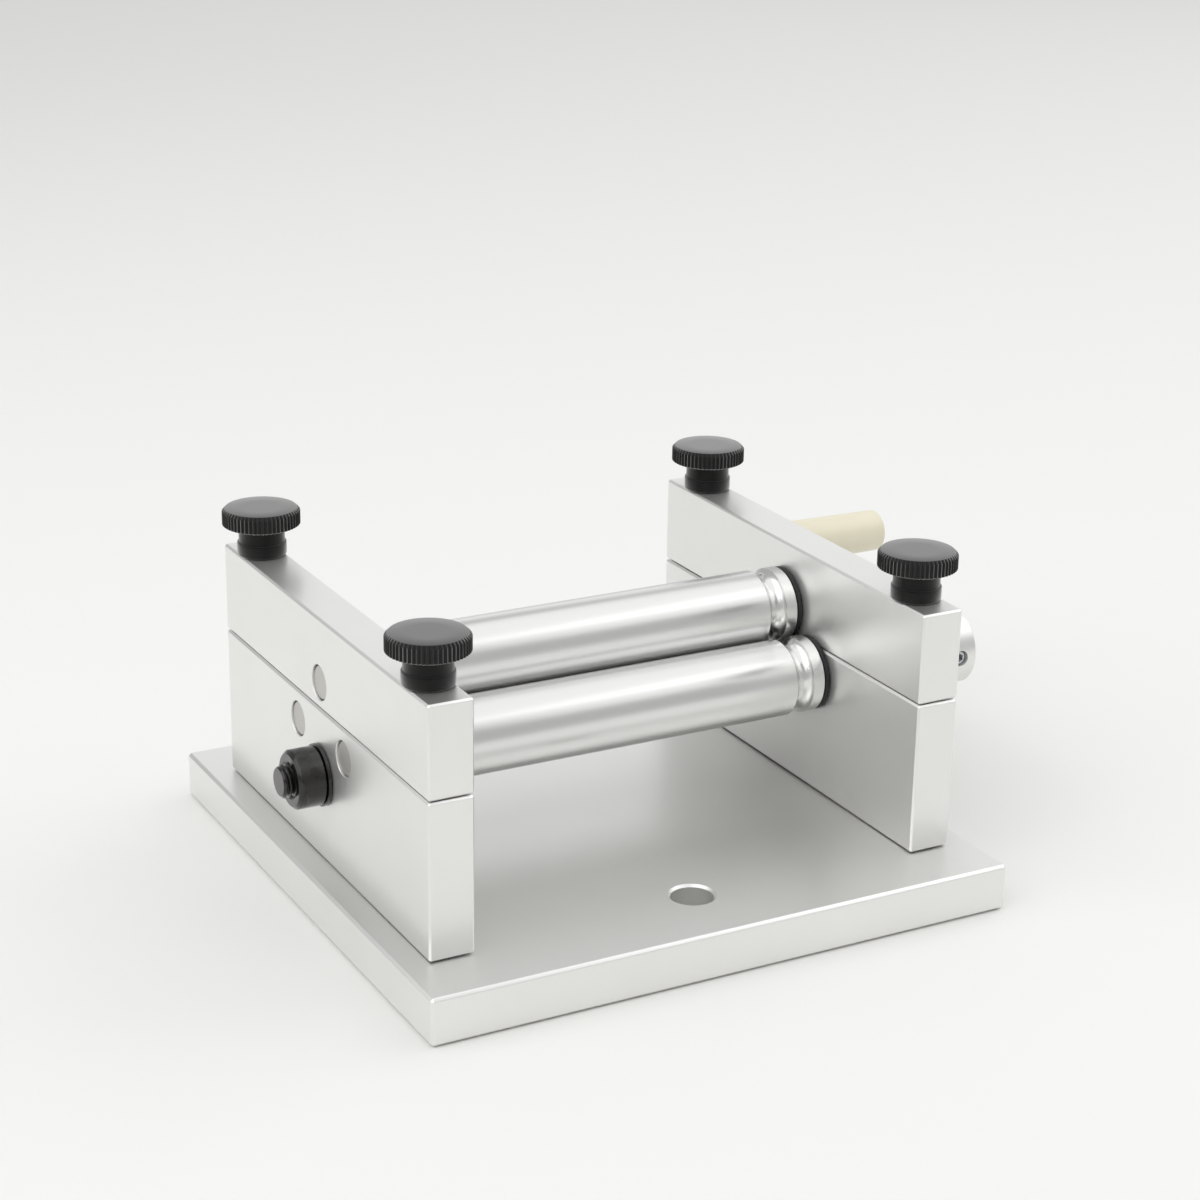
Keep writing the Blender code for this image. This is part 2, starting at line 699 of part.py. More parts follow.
def build_lift_spring(name, x, y, material):
    """A coil round the stud, from the pocket's floor to the pressure bar's underside."""
    low = split_z - SPRING_POCKET_DEPTH + SEAT_GAP + SPRING_WIRE / 2
    high = bar_bottom_z - SEAT_GAP - SPRING_WIRE / 2
    points = coil_points(low, high)
    curve = bpy.data.curves.new(name, "CURVE")
    curve.dimensions = "3D"
    spline = curve.splines.new("POLY")
    spline.points.add(len(points) - 1)
    for target, point in zip(spline.points, points):
        target.co = (*point, 1.0)
    curve.bevel_depth = SPRING_WIRE / 2
    curve.bevel_resolution = 1
    curve.use_fill_caps = True
    curve.materials.append(material)
    spring = bpy.data.objects.new(name, curve)
    bpy.context.collection.objects.link(spring)
    spring.location = (x, y, 0)
    return least_coil_gap(points)


def arm_ring(x, shrink):
    """The crank arm's outline at one x: a straight bar with round ends, drawn in by a chamfer."""
    radius = CRANK_ARM_WIDTH / 2 - shrink
    points = []
    for centre_y, start in ((CRANK_LENGTH, -90), (0, 90)):
        for i in range(ARM_END_STEPS + 1):
            angle = math.radians(start + 180 * i / ARM_END_STEPS)
            points.append(Vector((x, centre_y + radius * math.cos(angle), radius * math.sin(angle))))
    return points


def build_crank_arm(material, drive_axis):
    """Flat arm with round ends, bored for the shaft, the handle's spindle and the set screw."""
    half = CRANK_ARM_THICKNESS / 2
    body = lofted(
        [
            arm_ring(-half, CRANK_ARM_CHAMFER),
            arm_ring(CRANK_ARM_CHAMFER - half, 0),
            arm_ring(half - CRANK_ARM_CHAMFER, 0),
            arm_ring(half, CRANK_ARM_CHAMFER),
        ]
    )
    arm = add_object("crank_arm", body, material, (arm_centre_x, crank_axis_y, lower_axis_z), drive_axis)
    shaft_bore = JOURNAL_DIAMETER / 2 + RUNNING_CLEARANCE
    shaft_cut = turned(through_hole(shaft_bore, CRANK_ARM_THICKNESS), HOLE_SEGMENTS, into=ALONG_X)
    cut(arm, "arm_shaft_bore", shaft_cut)
    spindle_bore = through_hole(SPINDLE_THREAD_DIAMETER / 2 + RUNNING_CLEARANCE, CRANK_ARM_THICKNESS)
    spindle_cut = turned(spindle_bore, SMALL_SEGMENTS, into=ALONG_X)
    cut(arm, "arm_spindle_bore", moved(spindle_cut, (0, CRANK_LENGTH, 0)))
    set_bore = SET_SCREW_DIAMETER / 2 + RUNNING_CLEARANCE
    outside = -CRANK_ARM_WIDTH / 2 - CUTTER_OVERRUN
    set_cut = [(0, outside), (set_bore, outside), (set_bore, 0), (0, 0)]
    cut(arm, "arm_set_screw_hole", turned(set_cut, SMALL_SEGMENTS, into=ALONG_Y))


def build_set_screw(material, drive_axis):
    """Grub screw in the arm's front end that bears on the shaft's flat."""
    outer = -(CRANK_ARM_WIDTH / 2 - SET_SCREW_RECESS)
    inner = -(JOURNAL_DIAMETER / 2 - SHAFT_FLAT_DEPTH + SEAT_GAP)
    radius = SET_SCREW_DIAMETER / 2
    length = inner - outer
    profile = [
        (0, 0),
        (radius - STUD_CHAMFER, 0),
        (radius, -STUD_CHAMFER),
        (radius, STUD_CHAMFER - length),
        (radius - STUD_CHAMFER, -length),
        (0, -length),
    ]
    outward = Matrix.Rotation(math.radians(90), 4, "X")
    body = turned(profile, SMALL_SEGMENTS, into=outward)
    place = (arm_centre_x, crank_axis_y + outer, lower_axis_z)
    screw = add_object("crank_set_screw", body, material, place, drive_axis)
    socket = hex_socket(SET_SCREW_SOCKET, SET_SCREW_SOCKET_DEPTH)
    socket.transform(outward)
    cut(screw, "set_screw_socket", socket)


def build_handle_spindle(material, drive_axis):
    """Shoulder screw: thread in the arm, shoulder through the grip, head in the grip's end."""
    thread = SPINDLE_THREAD_DIAMETER / 2
    shoulder = SPINDLE_DIAMETER / 2
    head = SPINDLE_HEAD_DIAMETER / 2
    thread_end = arm_inner_x + SPINDLE_THREAD_RECESS
    head_end = grip_start_x + GRIP_LENGTH - SPINDLE_HEAD_RECESS
    head_seat = head_end - SPINDLE_HEAD_HEIGHT
    profile = [
        (0, 0),
        (head - STUD_CHAMFER, 0),
        (head, -STUD_CHAMFER),
        (head, head_seat - head_end),
        (shoulder, head_seat - head_end),
        (shoulder, grip_start_x - head_end),
        (thread, grip_start_x - head_end),
        (thread, thread_end + STUD_CHAMFER - head_end),
        (thread - STUD_CHAMFER, thread_end - head_end),
        (0, thread_end - head_end),
    ]
    body = turned(profile, SMALL_SEGMENTS, into=ALONG_X)
    place = (head_end, handle_axis_y, lower_axis_z)
    spindle = add_object("handle_spindle", body, material, place, drive_axis)
    socket = hex_socket(SPINDLE_SOCKET, SPINDLE_HEAD_HEIGHT * SOCKET_DEPTH_SHARE)
    socket.transform(ALONG_X)
    cut(spindle, "spindle_socket", socket)


def build_crank_grip(material, drive_axis):
    """Tapered sleeve that turns on the spindle, rounded at both rims."""
    root = GRIP_ROOT_DIAMETER / 2
    end = GRIP_END_DIAMETER / 2
    bore = SPINDLE_DIAMETER / 2 + RUNNING_CLEARANCE
    recess = SPINDLE_HEAD_DIAMETER / 2 + RUNNING_CLEARANCE
    recess_floor = GRIP_LENGTH - SPINDLE_HEAD_RECESS - SPINDLE_HEAD_HEIGHT - SEAT_GAP
    start = SEAT_GAP
    profile = [(bore, start), (bore, recess_floor), (recess, recess_floor), (recess, GRIP_LENGTH)]
    for i in range(ROUNDING_STEPS + 1):
        angle = math.radians(90 - 90 * i / ROUNDING_STEPS)
        out = end - GRIP_ROUNDING + GRIP_ROUNDING * math.cos(angle)
        along = GRIP_LENGTH - GRIP_ROUNDING + GRIP_ROUNDING * math.sin(angle)
        profile.append((out, along))
    for i in range(ROUNDING_STEPS + 1):
        angle = math.radians(-90 * i / ROUNDING_STEPS)
        out = root - GRIP_ROUNDING + GRIP_ROUNDING * math.cos(angle)
        along = start + GRIP_ROUNDING + GRIP_ROUNDING * math.sin(angle)
        profile.append((out, along))
    body = turned(profile, HOLE_SEGMENTS, ring=True, into=ALONG_X)
    add_object("crank_grip", body, material, (grip_start_x, handle_axis_y, lower_axis_z), drive_axis)


def build_machine():
    """Build every piece, and print the springs' least gap."""
    clear_scene()
    aluminium = satin_aluminium()
    steel = turned_steel()
    black_steel = black_oxide_steel()
    head_plastic = black_plastic()
    nylon = black_nylon()
    zinc = zinc_steel()
    spring = spring_steel()
    cream = cream_plastic()

    lift_axis = add_axis("press_lift_axis", (0, 0, split_z))
    top_axis = add_axis("top_roller_axis", (0, 0, top_axis_z))
    drive_axis = add_axis("front_drive_axis", (0, crank_axis_y, lower_axis_z))
    rear_axis = add_axis("rear_roller_axis", (0, lower_axis_y, lower_axis_z))

    build_base_plate(aluminium)
    for side_name, side in (("left", -1), ("right", 1)):
        build_side_block(side_name, side, aluminium)
        build_pressure_bar(side_name, side, aluminium, lift_axis)
        build_stay_end(side_name, side, black_steel)
        build_thrust_washer(f"top_{side_name}_washer", side, 0, top_axis_z, nylon, lift_axis)
        build_thrust_washer(f"front_{side_name}_washer", side, -lower_axis_y, lower_axis_z, nylon, None)
        build_thrust_washer(f"rear_{side_name}_washer", side, lower_axis_y, lower_axis_z, nylon, None)
    build_stay_bar(aluminium)

    build_roller("top_roller", 0, top_axis_z, journal_end_x, steel, top_axis)
    build_roller("rear_roller", lower_axis_y, lower_axis_z, journal_end_x, steel, rear_axis)
    drive_end = arm_outer_x + SHAFT_PROUD
    front = build_roller("front_roller", crank_axis_y, lower_axis_z, drive_end, steel, drive_axis)
    build_drive_flat(front)

    least_gap = math.inf
    for side_name, side in (("left", -1), ("right", 1)):
        for end, y_side in (("front", -1), ("rear", 1)):
            corner = f"{side_name}_{end}"
            x = side * block_centre_x
            y = y_side * thumb_y
            build_thumb_screw(f"{corner}_thumb", x, y, head_plastic, zinc, lift_axis)
            build_base_screw(f"{corner}_base_screw", x, y_side * base_screw_y, black_steel)
            gap = build_lift_spring(f"{corner}_lift_spring", x, y, spring)
            least_gap = min(least_gap, gap)
    print(f"least gap between the turns of a lift spring: {least_gap * 1000:.2f} mm")

    build_crank_arm(aluminium, drive_axis)
    build_set_screw(zinc, drive_axis)
    build_handle_spindle(zinc, drive_axis)
    build_crank_grip(cream, drive_axis)


build_machine()
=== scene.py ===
"""Looks of a three-roller plate bending machine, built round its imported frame.

Every piece of the frame is stood for by a finely modelled one: blasted and anodised blocks, turned
rollers with a wire groove, knurled thumb screws and studs with real threads, coiled springs, round
nuts on the stay bar and a moulded grip. Lengths are in metres. Places are in the frame's own space,
so a piece goes where the frame says.
"""

import logging
import math
from collections.abc import Callable, Iterator
from contextlib import contextmanager
from dataclasses import dataclass, field
from enum import Enum

import bmesh
import bpy
from mathutils import Matrix, Vector

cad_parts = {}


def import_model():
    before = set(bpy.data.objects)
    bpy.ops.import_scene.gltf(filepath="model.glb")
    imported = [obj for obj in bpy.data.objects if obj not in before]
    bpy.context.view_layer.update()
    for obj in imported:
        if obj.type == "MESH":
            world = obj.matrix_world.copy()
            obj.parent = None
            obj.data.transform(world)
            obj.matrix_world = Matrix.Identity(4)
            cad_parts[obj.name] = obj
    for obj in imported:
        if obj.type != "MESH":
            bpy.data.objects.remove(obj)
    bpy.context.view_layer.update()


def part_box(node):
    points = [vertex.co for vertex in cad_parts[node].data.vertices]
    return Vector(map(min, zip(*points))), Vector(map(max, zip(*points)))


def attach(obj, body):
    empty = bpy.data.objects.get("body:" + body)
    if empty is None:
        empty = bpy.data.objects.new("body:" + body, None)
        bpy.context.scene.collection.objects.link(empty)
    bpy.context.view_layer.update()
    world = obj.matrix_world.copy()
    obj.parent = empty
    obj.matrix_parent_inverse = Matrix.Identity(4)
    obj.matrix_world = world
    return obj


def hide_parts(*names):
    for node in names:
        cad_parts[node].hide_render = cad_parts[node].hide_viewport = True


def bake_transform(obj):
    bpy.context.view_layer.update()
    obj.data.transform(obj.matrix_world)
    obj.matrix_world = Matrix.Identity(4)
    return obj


LOG = logging.getLogger("plate_bending_machine")

MM = 0.001
MERGE_DISTANCE = 1e-7
NEAR = 1e-6
SMOOTH_ANGLE = math.radians(28)
FLAT_ANGLE = math.radians(12)
CUTTER_OVERRUN = 1.0 * MM
DRILL_POINT_SLOPE = math.tan(math.radians(31))
SOCKET_TIP_SCALE = 0.1
THREAD_FLAT_SHARE = 1 / 8
# A ring's profile starts and ends in its bore, at these shares of its length.
RING_SEAM = (0.5, 0.51)
# Most of a noise texture's values lie between these.
NOISE_LOW, NOISE_HIGH = 0.3, 0.7
SEGMENTS = 96
CORNERS = ("left_front", "left_rear", "right_front", "right_rear")
SIDES = ("left", "right")
ENDS = ("front", "rear")

Profile = list[tuple[float, float]]
Outline = list[tuple[float, float, float]]
Piece = bpy.types.Object


class Axis(Enum):
    """The way a turned piece's axis runs."""

    X = (1.0, 0.0, 0.0)
    Y = (0.0, 1.0, 0.0)
    Z = (0.0, 0.0, 1.0)

    @property
    def along(self) -> Vector:
        """Unit vector along the axis."""
        return Vector(self.value)

    @property
    def out(self) -> Vector:
        """Unit vector in which a profile's radii are drawn."""
        return Vector((1, 0, 0)) if self is Axis.Z else Vector((0, 0, 1))

    @property
    def turn_from_z(self) -> tuple[float, float, float]:
        """Euler angles that lay a shape drawn along +Z along this axis."""
        quarter = math.pi / 2
        return {Axis.X: (0, quarter, 0), Axis.Y: (-quarter, 0, 0), Axis.Z: (0, 0, 0)}[self]

    def slide(self, point: Vector, level: Vector) -> Vector:
        """Move a point along the axis.

        Args:
            point: The point.
            level: The point that it ends level with.

        Returns:
            The moved point.
        """
        moved = point.copy()
        index = "XYZ".index(self.name)
        moved[index] = level[index]
        return moved


class Slot(Enum):
    """The record's material slots."""

    ALUMINIUM = "satin_aluminium"
    STEEL = "turned_steel"
    NYLON = "black_nylon"
    OXIDE = "black_oxide_steel"
    PLASTIC = "black_plastic"
    ZINC = "zinc_steel"
    SPRING = "spring_steel"
    CREAM = "cream_plastic"


def linear(hex_colour: str) -> tuple[float, float, float, float]:
    """Turn an sRGB hex colour into the linear one that shaders take.

    Args:
        hex_colour: Six hex digits after a hash sign.

    Returns:
        Red, green, blue and alpha, from 0 to 1.
    """
    channels = []
    for start in (1, 3, 5):
        value = int(hex_colour[start : start + 2], 16) / 255
        channels.append(value / 12.92 if value <= 0.04045 else ((value + 0.055) / 1.055) ** 2.4)
    return (*channels, 1.0)


def add_node(
    tree: bpy.types.NodeTree, kind: str, inputs: dict | None = None, **settings: object
) -> bpy.types.Node:
    """Add a shader node with its settings, and fill or link its inputs.

    Args:
        tree: The node tree that gets the node.
        kind: The node's type name.
        inputs: A value or an output socket for each input, by its name or number.
        **settings: The node's own properties.

    Returns:
        The new node.
    """
    node = tree.nodes.new(kind)
    for name, value in settings.items():
        setattr(node, name, value)
    for key, value in (inputs or {}).items():
        if isinstance(value, bpy.types.NodeSocket):
            tree.links.new(value, node.inputs[key])
        else:
            node.inputs[key].default_value = value
    return node


def middle_of(node: str) -> Vector:
    """The middle of a node's box."""
    low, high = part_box(node)
    return (low + high) / 2


def make_active(item: Piece) -> None:
    """Select one object alone and make it the active one.

    Args:
        item: The object.
    """
    bpy.ops.object.select_all(action="DESELECT")
    item.select_set(True)
    bpy.context.view_layer.objects.active = item


def apply_place(item: Piece) -> None:
    """Move an object's place, turn and scale into its mesh."""
    make_active(item)
    bpy.ops.object.transform_apply(location=True, rotation=True, scale=True)


def apply_modifier(item: Piece, modifier: bpy.types.Modifier) -> None:
    """Apply one of an object's modifiers to its mesh."""
    make_active(item)
    bpy.ops.object.modifier_apply(modifier=modifier.name)


def shade(item: Piece, angle: float) -> None:
    """Shade a piece smooth, apart from the edges sharper than an angle."""
    make_active(item)
    bpy.ops.object.shade_smooth_by_angle(angle=angle)


def add_primitive(name: str, operator: Callable[..., set[str]], **settings: object) -> Piece:
    """Add one of Blender's primitives alone, name it and apply its place.

    Args:
        name: The object's name.
        operator: The operator that adds it.
        **settings: What the operator is given.

    Returns:
        The object.
    """
    bpy.ops.object.select_all(action="DESELECT")
    operator(**settings)
    item = bpy.context.object
    item.name = name
    item.data.name = name
    apply_place(item)
    return item


@contextmanager
def editing(item: Piece) -> Iterator[None]:
    """Hold one object alone in edit mode, with all of its mesh selected.

    Args:
        item: The object.

    Yields:
        Nothing.
    """
    make_active(item)
    bpy.ops.object.mode_set(mode="EDIT")
    bpy.ops.mesh.select_all(action="SELECT")
    yield
    bpy.ops.object.mode_set(mode="OBJECT")


def pick_vertices(item: Piece, test: Callable[[Vector], bool]) -> None:
    """Select, in edit mode, just the vertices whose place passes a test.

    Args:
        item: The object in edit mode.
        test: Says of a place whether its vertex is wanted.
    """
    bpy.ops.mesh.select_all(action="DESELECT")
    mesh = bmesh.from_edit_mesh(item.data)
    for vertex in mesh.verts:
        vertex.select = test(vertex.co)
    mesh.select_flush_mode()
    bmesh.update_edit_mesh(item.data)


def seal(item: Piece) -> None:
    """Merge a shape's seam and poles, and point its faces outwards.

    Args:
        item: The shape.
    """
    with editing(item):
        bpy.ops.mesh.remove_doubles(threshold=MERGE_DISTANCE)
        bpy.ops.mesh.normals_make_consistent(inside=False)


def start_point(name: str, place: Vector) -> Piece:
    """Add a mesh of one vertex, from which a profile is drawn.

    Args:
        name: The object's name.
        place: Where the vertex goes.

    Returns:
        The object.
    """
    item = add_primitive(name, bpy.ops.mesh.primitive_plane_add, size=MM)
    with editing(item):
        bpy.ops.mesh.merge(type="CENTER")
        bpy.ops.transform.translate(value=place)
    return item


def turn(
    name: str, profile: Profile, centre: Vector, axis: Axis, segments: int = SEGMENTS, ring: bool = False
) -> Piece:
    """Draw a profile point by point and spin it about an axis.

    Args:
        name: The object's name.
        profile: Points as (radius, distance along the axis).
        centre: The point on the axis that the distances count from.
        axis: The way the axis runs.
        segments: How many steps a full turn has.
        ring: Whether the profile closes on itself round a bore.

    Returns:
        The closed turned solid.
    """
    points = [centre + axis.out * radius + axis.along * reach for radius, reach in profile]
    if ring:
        points.append(points[0])
    item = start_point(name, points[0])
    with editing(item):
        for here, there in zip(points, points[1:]):
            bpy.ops.mesh.extrude_region_move(TRANSFORM_OT_translate={"value": there - here})
        bpy.ops.mesh.select_all(action="SELECT")
        if ring:
            bpy.ops.mesh.remove_doubles(threshold=MERGE_DISTANCE)
        bpy.ops.mesh.spin(
            steps=segments, angle=math.tau, center=centre, axis=axis.along, use_auto_merge=True
        )
    seal(item)
    return item


def rounded(corners: Outline, steps: int = 4) -> Profile:
    """Round the corners of a profile.

    Args:
        corners: Points as (radius, distance along the axis, fillet radius).
        steps: How many chords a fillet has.

    Returns:
        The profile, with an arc in place of each corner that has a fillet.
    """
    profile: Profile = []
    last = len(corners) - 1
    for i, (radius, reach, fillet) in enumerate(corners):
        if fillet == 0 or i in (0, last):
            profile.append((radius, reach))
            continue
        here = Vector((radius, reach, 0))
        back = (Vector((*corners[i - 1][:2], 0)) - here).normalized()
        ahead = (Vector((*corners[i + 1][:2], 0)) - here).normalized()
        half = back.angle(ahead) / 2
        hub = here + (back + ahead).normalized() * (fillet / math.sin(half))
        start = here + back * (fillet / math.tan(half)) - hub
        end = here + ahead * (fillet / math.tan(half)) - hub
        for step in range(steps + 1):
            point = hub + start.slerp(end, step / steps) * fillet
            profile.append((point.x, point.y))
    return profile


def turn_ring(
    name: str, corners: Outline, length: float, centre: Vector, segments: int = SEGMENTS, steps: int = 4
) -> Piece:
    """Turn a ring about X, its profile drawn from the middle of its bore round to there again.

    Args:
        name: The ring's name.
        corners: The profile's corners, from the bore at the first face to the bore at the second.
        length: How far the second face is from the first, negative where it is to the left.
        centre: The middle of the first face.
        segments: How many steps a full turn has.
        steps: How many chords a fillet has.

    Returns:
        The ring, shaded.
    """
    bore, _, _ = corners[0]
    start, end = (length * share for share in RING_SEAM)
    profile = rounded([(bore, start, 0), *corners, (bore, end, 0)], steps)
    ring = turn(name, profile, centre, Axis.X, segments, ring=True)
    shade(ring, SMOOTH_ANGLE)
    return ring


def punched_washer(node: str, bore: float, edge: float, segments: int, steps: int) -> Piece:
    """Make a washer in a node's place, its edges rounded by the punch.

    Args:
        node: The washer's node.
        bore: Its bore's radius.
        edge: Its edges' radius.
        segments: How many steps a full turn has.
        steps: How many chords an edge has.

    Returns:
        The washer.
    """
    low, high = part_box(node)
    rim = (high.y - low.y) / 2
    thick = high.x - low.x
    corners = [(bore, 0, edge), (rim, 0, edge), (rim, thick, edge), (bore, thick, edge)]
    centre = Axis.X.slide(middle_of(node), low)
    return turn_ring(f"punched_{node}", corners, thick, centre, segments, steps)


def wind(item: Piece, angle: float, climb: float, steps: int, times: int = 1) -> None:
    """Wind an outline up round Z.

    Args:
        item: The outline.
        angle: How far round one winding goes.
        climb: How far up one winding goes.
        steps: How many steps a winding has.
        times: How many windings there are.
    """
    winding = item.modifiers.new("winding", "SCREW")
    winding.axis = "Z"
    winding.angle = angle
    winding.screw_offset = climb
    winding.iterations = times
    winding.steps = steps
    winding.render_steps = steps
    apply_modifier(item, winding)


def trim(item: Piece, low: float, high: float) -> None:
    """Cut a wound shape off flat at two heights, and close its ends.

    Args:
        item: The shape.
        low: The height of its lower end.
        high: The height of its upper end.
    """
    with editing(item):
        for height, sides in ((low, {"clear_inner": True}), (high, {"clear_outer": True})):
            plane = {"plane_co": (0, 0, height), "plane_no": (0, 0, 1)}
            bpy.ops.mesh.select_all(action="SELECT")
            bpy.ops.mesh.bisect(**plane, **sides, use_fill=True, threshold=MERGE_DISTANCE)
        bpy.ops.mesh.select_all(action="SELECT")
        bpy.ops.mesh.normals_make_consistent(inside=False)


def threaded_rod(
    name: str, radius: float, depth: float, pitch: float, low: float, high: float, steps: int
) -> Piece:
    """Make a threaded rod round Z: one tooth wound up the rod, then cut to length.

    Args:
        name: The rod's name.
        radius: The thread's outer radius.
        depth: The thread's depth.
        pitch: The thread's pitch.
        low: The height of the rod's lower end.
        high: The height of its upper end.
        steps: How many steps a turn has.

    Returns:
        The rod.
    """
    flat = pitch * THREAD_FLAT_SHARE
    rise = (pitch - 2 * flat) / 2
    rod = start_point(name, Vector((radius - depth, 0, low - pitch)))
    with editing(rod):
        for out, up in ((0, flat), (depth, rise), (0, flat), (-depth, rise)):
            bpy.ops.mesh.extrude_region_move(TRANSFORM_OT_translate={"value": (out, 0, up)})
    wind(rod, math.tau, pitch, steps, math.ceil((high - low) / pitch) + 2)
    with editing(rod):
        bpy.ops.mesh.remove_doubles(threshold=NEAR)
    trim(rod, low, high)
    return rod


def milled_block(node: str, chamfer: float, shoulder: float) -> Piece:
    """Make a block that fills a node's box, with chamfered edges that the blasting has broken.

    Args:
        node: The block's node.
        chamfer: How far each chamfer runs in from the edge.
        shoulder: The small radius at the chamfers' edges.

    Returns:
        The block.
    """
    low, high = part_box(node)
    place = {"location": (low + high) / 2, "scale": high - low}
    block = add_primitive(f"blasted_{node}", bpy.ops.mesh.primitive_cube_add, size=1.0, **place)
    with editing(block):
        bpy.ops.mesh.bevel(offset=chamfer, segments=1, affect="EDGES")
        bpy.ops.mesh.select_all(action="SELECT")
        bpy.ops.mesh.bevel(offset=shoulder, segments=2, affect="EDGES")
    return block


def cut(target: Piece, cutter: Piece) -> None:
    """Cut a piece with a closed shape, and remove that shape.

    Args:
        target: The piece.
        cutter: The shape that is taken out of it.
    """
    modifier = target.modifiers.new(cutter.name, "BOOLEAN")
    modifier.operation = "DIFFERENCE"
    modifier.solver = "EXACT"
    modifier.object = cutter
    apply_modifier(target, modifier)
    bpy.data.objects.remove(cutter, do_unlink=True)


def drill(target: Piece, node: str, point: Vector, axis: Axis, radius: float, chamfer: float) -> None:
    """Drill a hole right through a piece, with a chamfer at both mouths.

    Args:
        target: The piece.
        node: The node that it stands for, whose box the hole goes through.
        point: A point on the hole's axis.
        axis: The way the hole runs.
        radius: The hole's radius.
        chamfer: How far each chamfer runs out and in.
    """
    low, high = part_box(node)
    start = axis.slide(point, low)
    length = (axis.slide(point, high) - start).length
    wide = radius + chamfer + CUTTER_OVERRUN
    profile = [
        (0, -CUTTER_OVERRUN),
        (wide, -CUTTER_OVERRUN),
        (radius, chamfer),
        (radius, length - chamfer),
        (wide, length + CUTTER_OVERRUN),
        (0, length + CUTTER_OVERRUN),
    ]
    cut(target, turn("hole", profile, start, axis))


def cut_socket(
    screw: Piece, across_flats: float, depth: float, mouth: Vector, axis: Axis, way: int = 1
) -> None:
    """Cut a hexagon socket with a drilled cone at its floor into a screw.

    Args:
        screw: The screw.
        across_flats: The key's size.
        depth: The socket's depth to the end of its flats.
        mouth: The middle of the socket's mouth.
        axis: The way the screw runs.
        way: 1 where the socket goes in along the axis, -1 where it goes in against it.
    """
    inward = axis.along * way
    length = depth + CUTTER_OVERRUN
    cutter = add_primitive(
        "socket",
        bpy.ops.mesh.primitive_cylinder_add,
        vertices=6,
        radius=across_flats / math.sqrt(3),
        depth=length,
        location=mouth + inward * (depth - length / 2),
        rotation=axis.turn_from_z,
        end_fill_type="NGON",
    )
    cone = across_flats / 2 * DRILL_POINT_SLOPE
    floor = mouth + inward * depth
    tip = floor + inward * cone
    with editing(cutter):
        pick_vertices(cutter, lambda place: (place - floor).dot(inward) > -NEAR)
        bpy.ops.mesh.extrude_region_move(TRANSFORM_OT_translate={"value": inward * cone})
        bpy.ops.transform.resize(value=(SOCKET_TIP_SCALE,) * 3, center_override=tip)
    cut(screw, cutter)


def copy_piece(item: Piece, name: str, offset: Vector) -> Piece:
    """Copy a piece with its own mesh, and move it.

    Args:
        item: The piece to copy.
        name: The copy's name.
        offset: How far the copy is moved.

    Returns:
        The copy.
    """
    copy = item.copy()
    copy.data = item.data.copy()
    copy.name = name
    copy.data.name = name
    bpy.context.collection.objects.link(copy)
    copy.location = offset
    apply_place(copy)
    return copy


@dataclass(frozen=True)
class Finish:
    """What each finish has: its name, its slot in the record, its colours, roughness and relief."""

    name: str
    slot: Slot
    colour: str
    roughness: float
    metallic: float = 0.0
    second_colour: str = ""
    roughness_swing: float = 0.05
    bump: float = 0.01 * MM
    strength: float = 0.4

    def build(self) -> bpy.types.Material:
        """Make the finish's material.

        Returns:
            The material, with the pattern that the finish adds.
        """
        material = bpy.data.materials.new(self.name)
        material.use_nodes = True
        shader = material.node_tree.nodes["Principled BSDF"]
        shader.inputs["Base Color"].default_value = linear(self.colour)
        shader.inputs["Roughness"].default_value = self.roughness
        shader.inputs["Metallic"].default_value = self.metallic
        self.add_pattern(material.node_tree, shader)
        return material

    def add_pattern(self, tree: bpy.types.NodeTree, shader: bpy.types.Node) -> None:
        """Add the finish's own pattern. Each finish says which."""
        raise NotImplementedError

    def add_grain(
        self, tree: bpy.types.NodeTree, shader: bpy.types.Node, grain: bpy.types.NodeSocket
    ) -> None:
        """Let a fine pattern vary the roughness and raise the surface.

        Args:
            tree: The material's nodes.
            shader: Its shader.
            grain: The pattern's output.
        """
        swing = {
            "Value": grain,
            "From Min": NOISE_LOW,
            "From Max": NOISE_HIGH,
            "To Min": self.roughness - self.roughness_swing,
            "To Max": self.roughness + self.roughness_swing,
        }
        rough = add_node(tree, "ShaderNodeMapRange", swing)
        tree.links.new(rough.outputs["Result"], shader.inputs["Roughness"])
        relief = {"Height": grain, "Strength": self.strength, "Distance": self.bump}
        bump = add_node(tree, "ShaderNodeBump", relief)
        tree.links.new(bump.outputs["Normal"], shader.inputs["Normal"])

    def add_clouds(
        self, tree: bpy.types.NodeTree, shader: bpy.types.Node, clouds: bpy.types.NodeSocket
    ) -> None:
        """Let a soft pattern mix the finish's two colours.

        Args:
            tree: The material's nodes.
            shader: Its shader.
            clouds: The pattern's output.
        """
        factor, first, second = 0, 6, 7
        colours = {factor: clouds, first: linear(self.second_colour), second: linear(self.colour)}
        mix = add_node(tree, "ShaderNodeMix", colours, data_type="RGBA")
        tree.links.new(mix.outputs[2], shader.inputs["Base Color"])


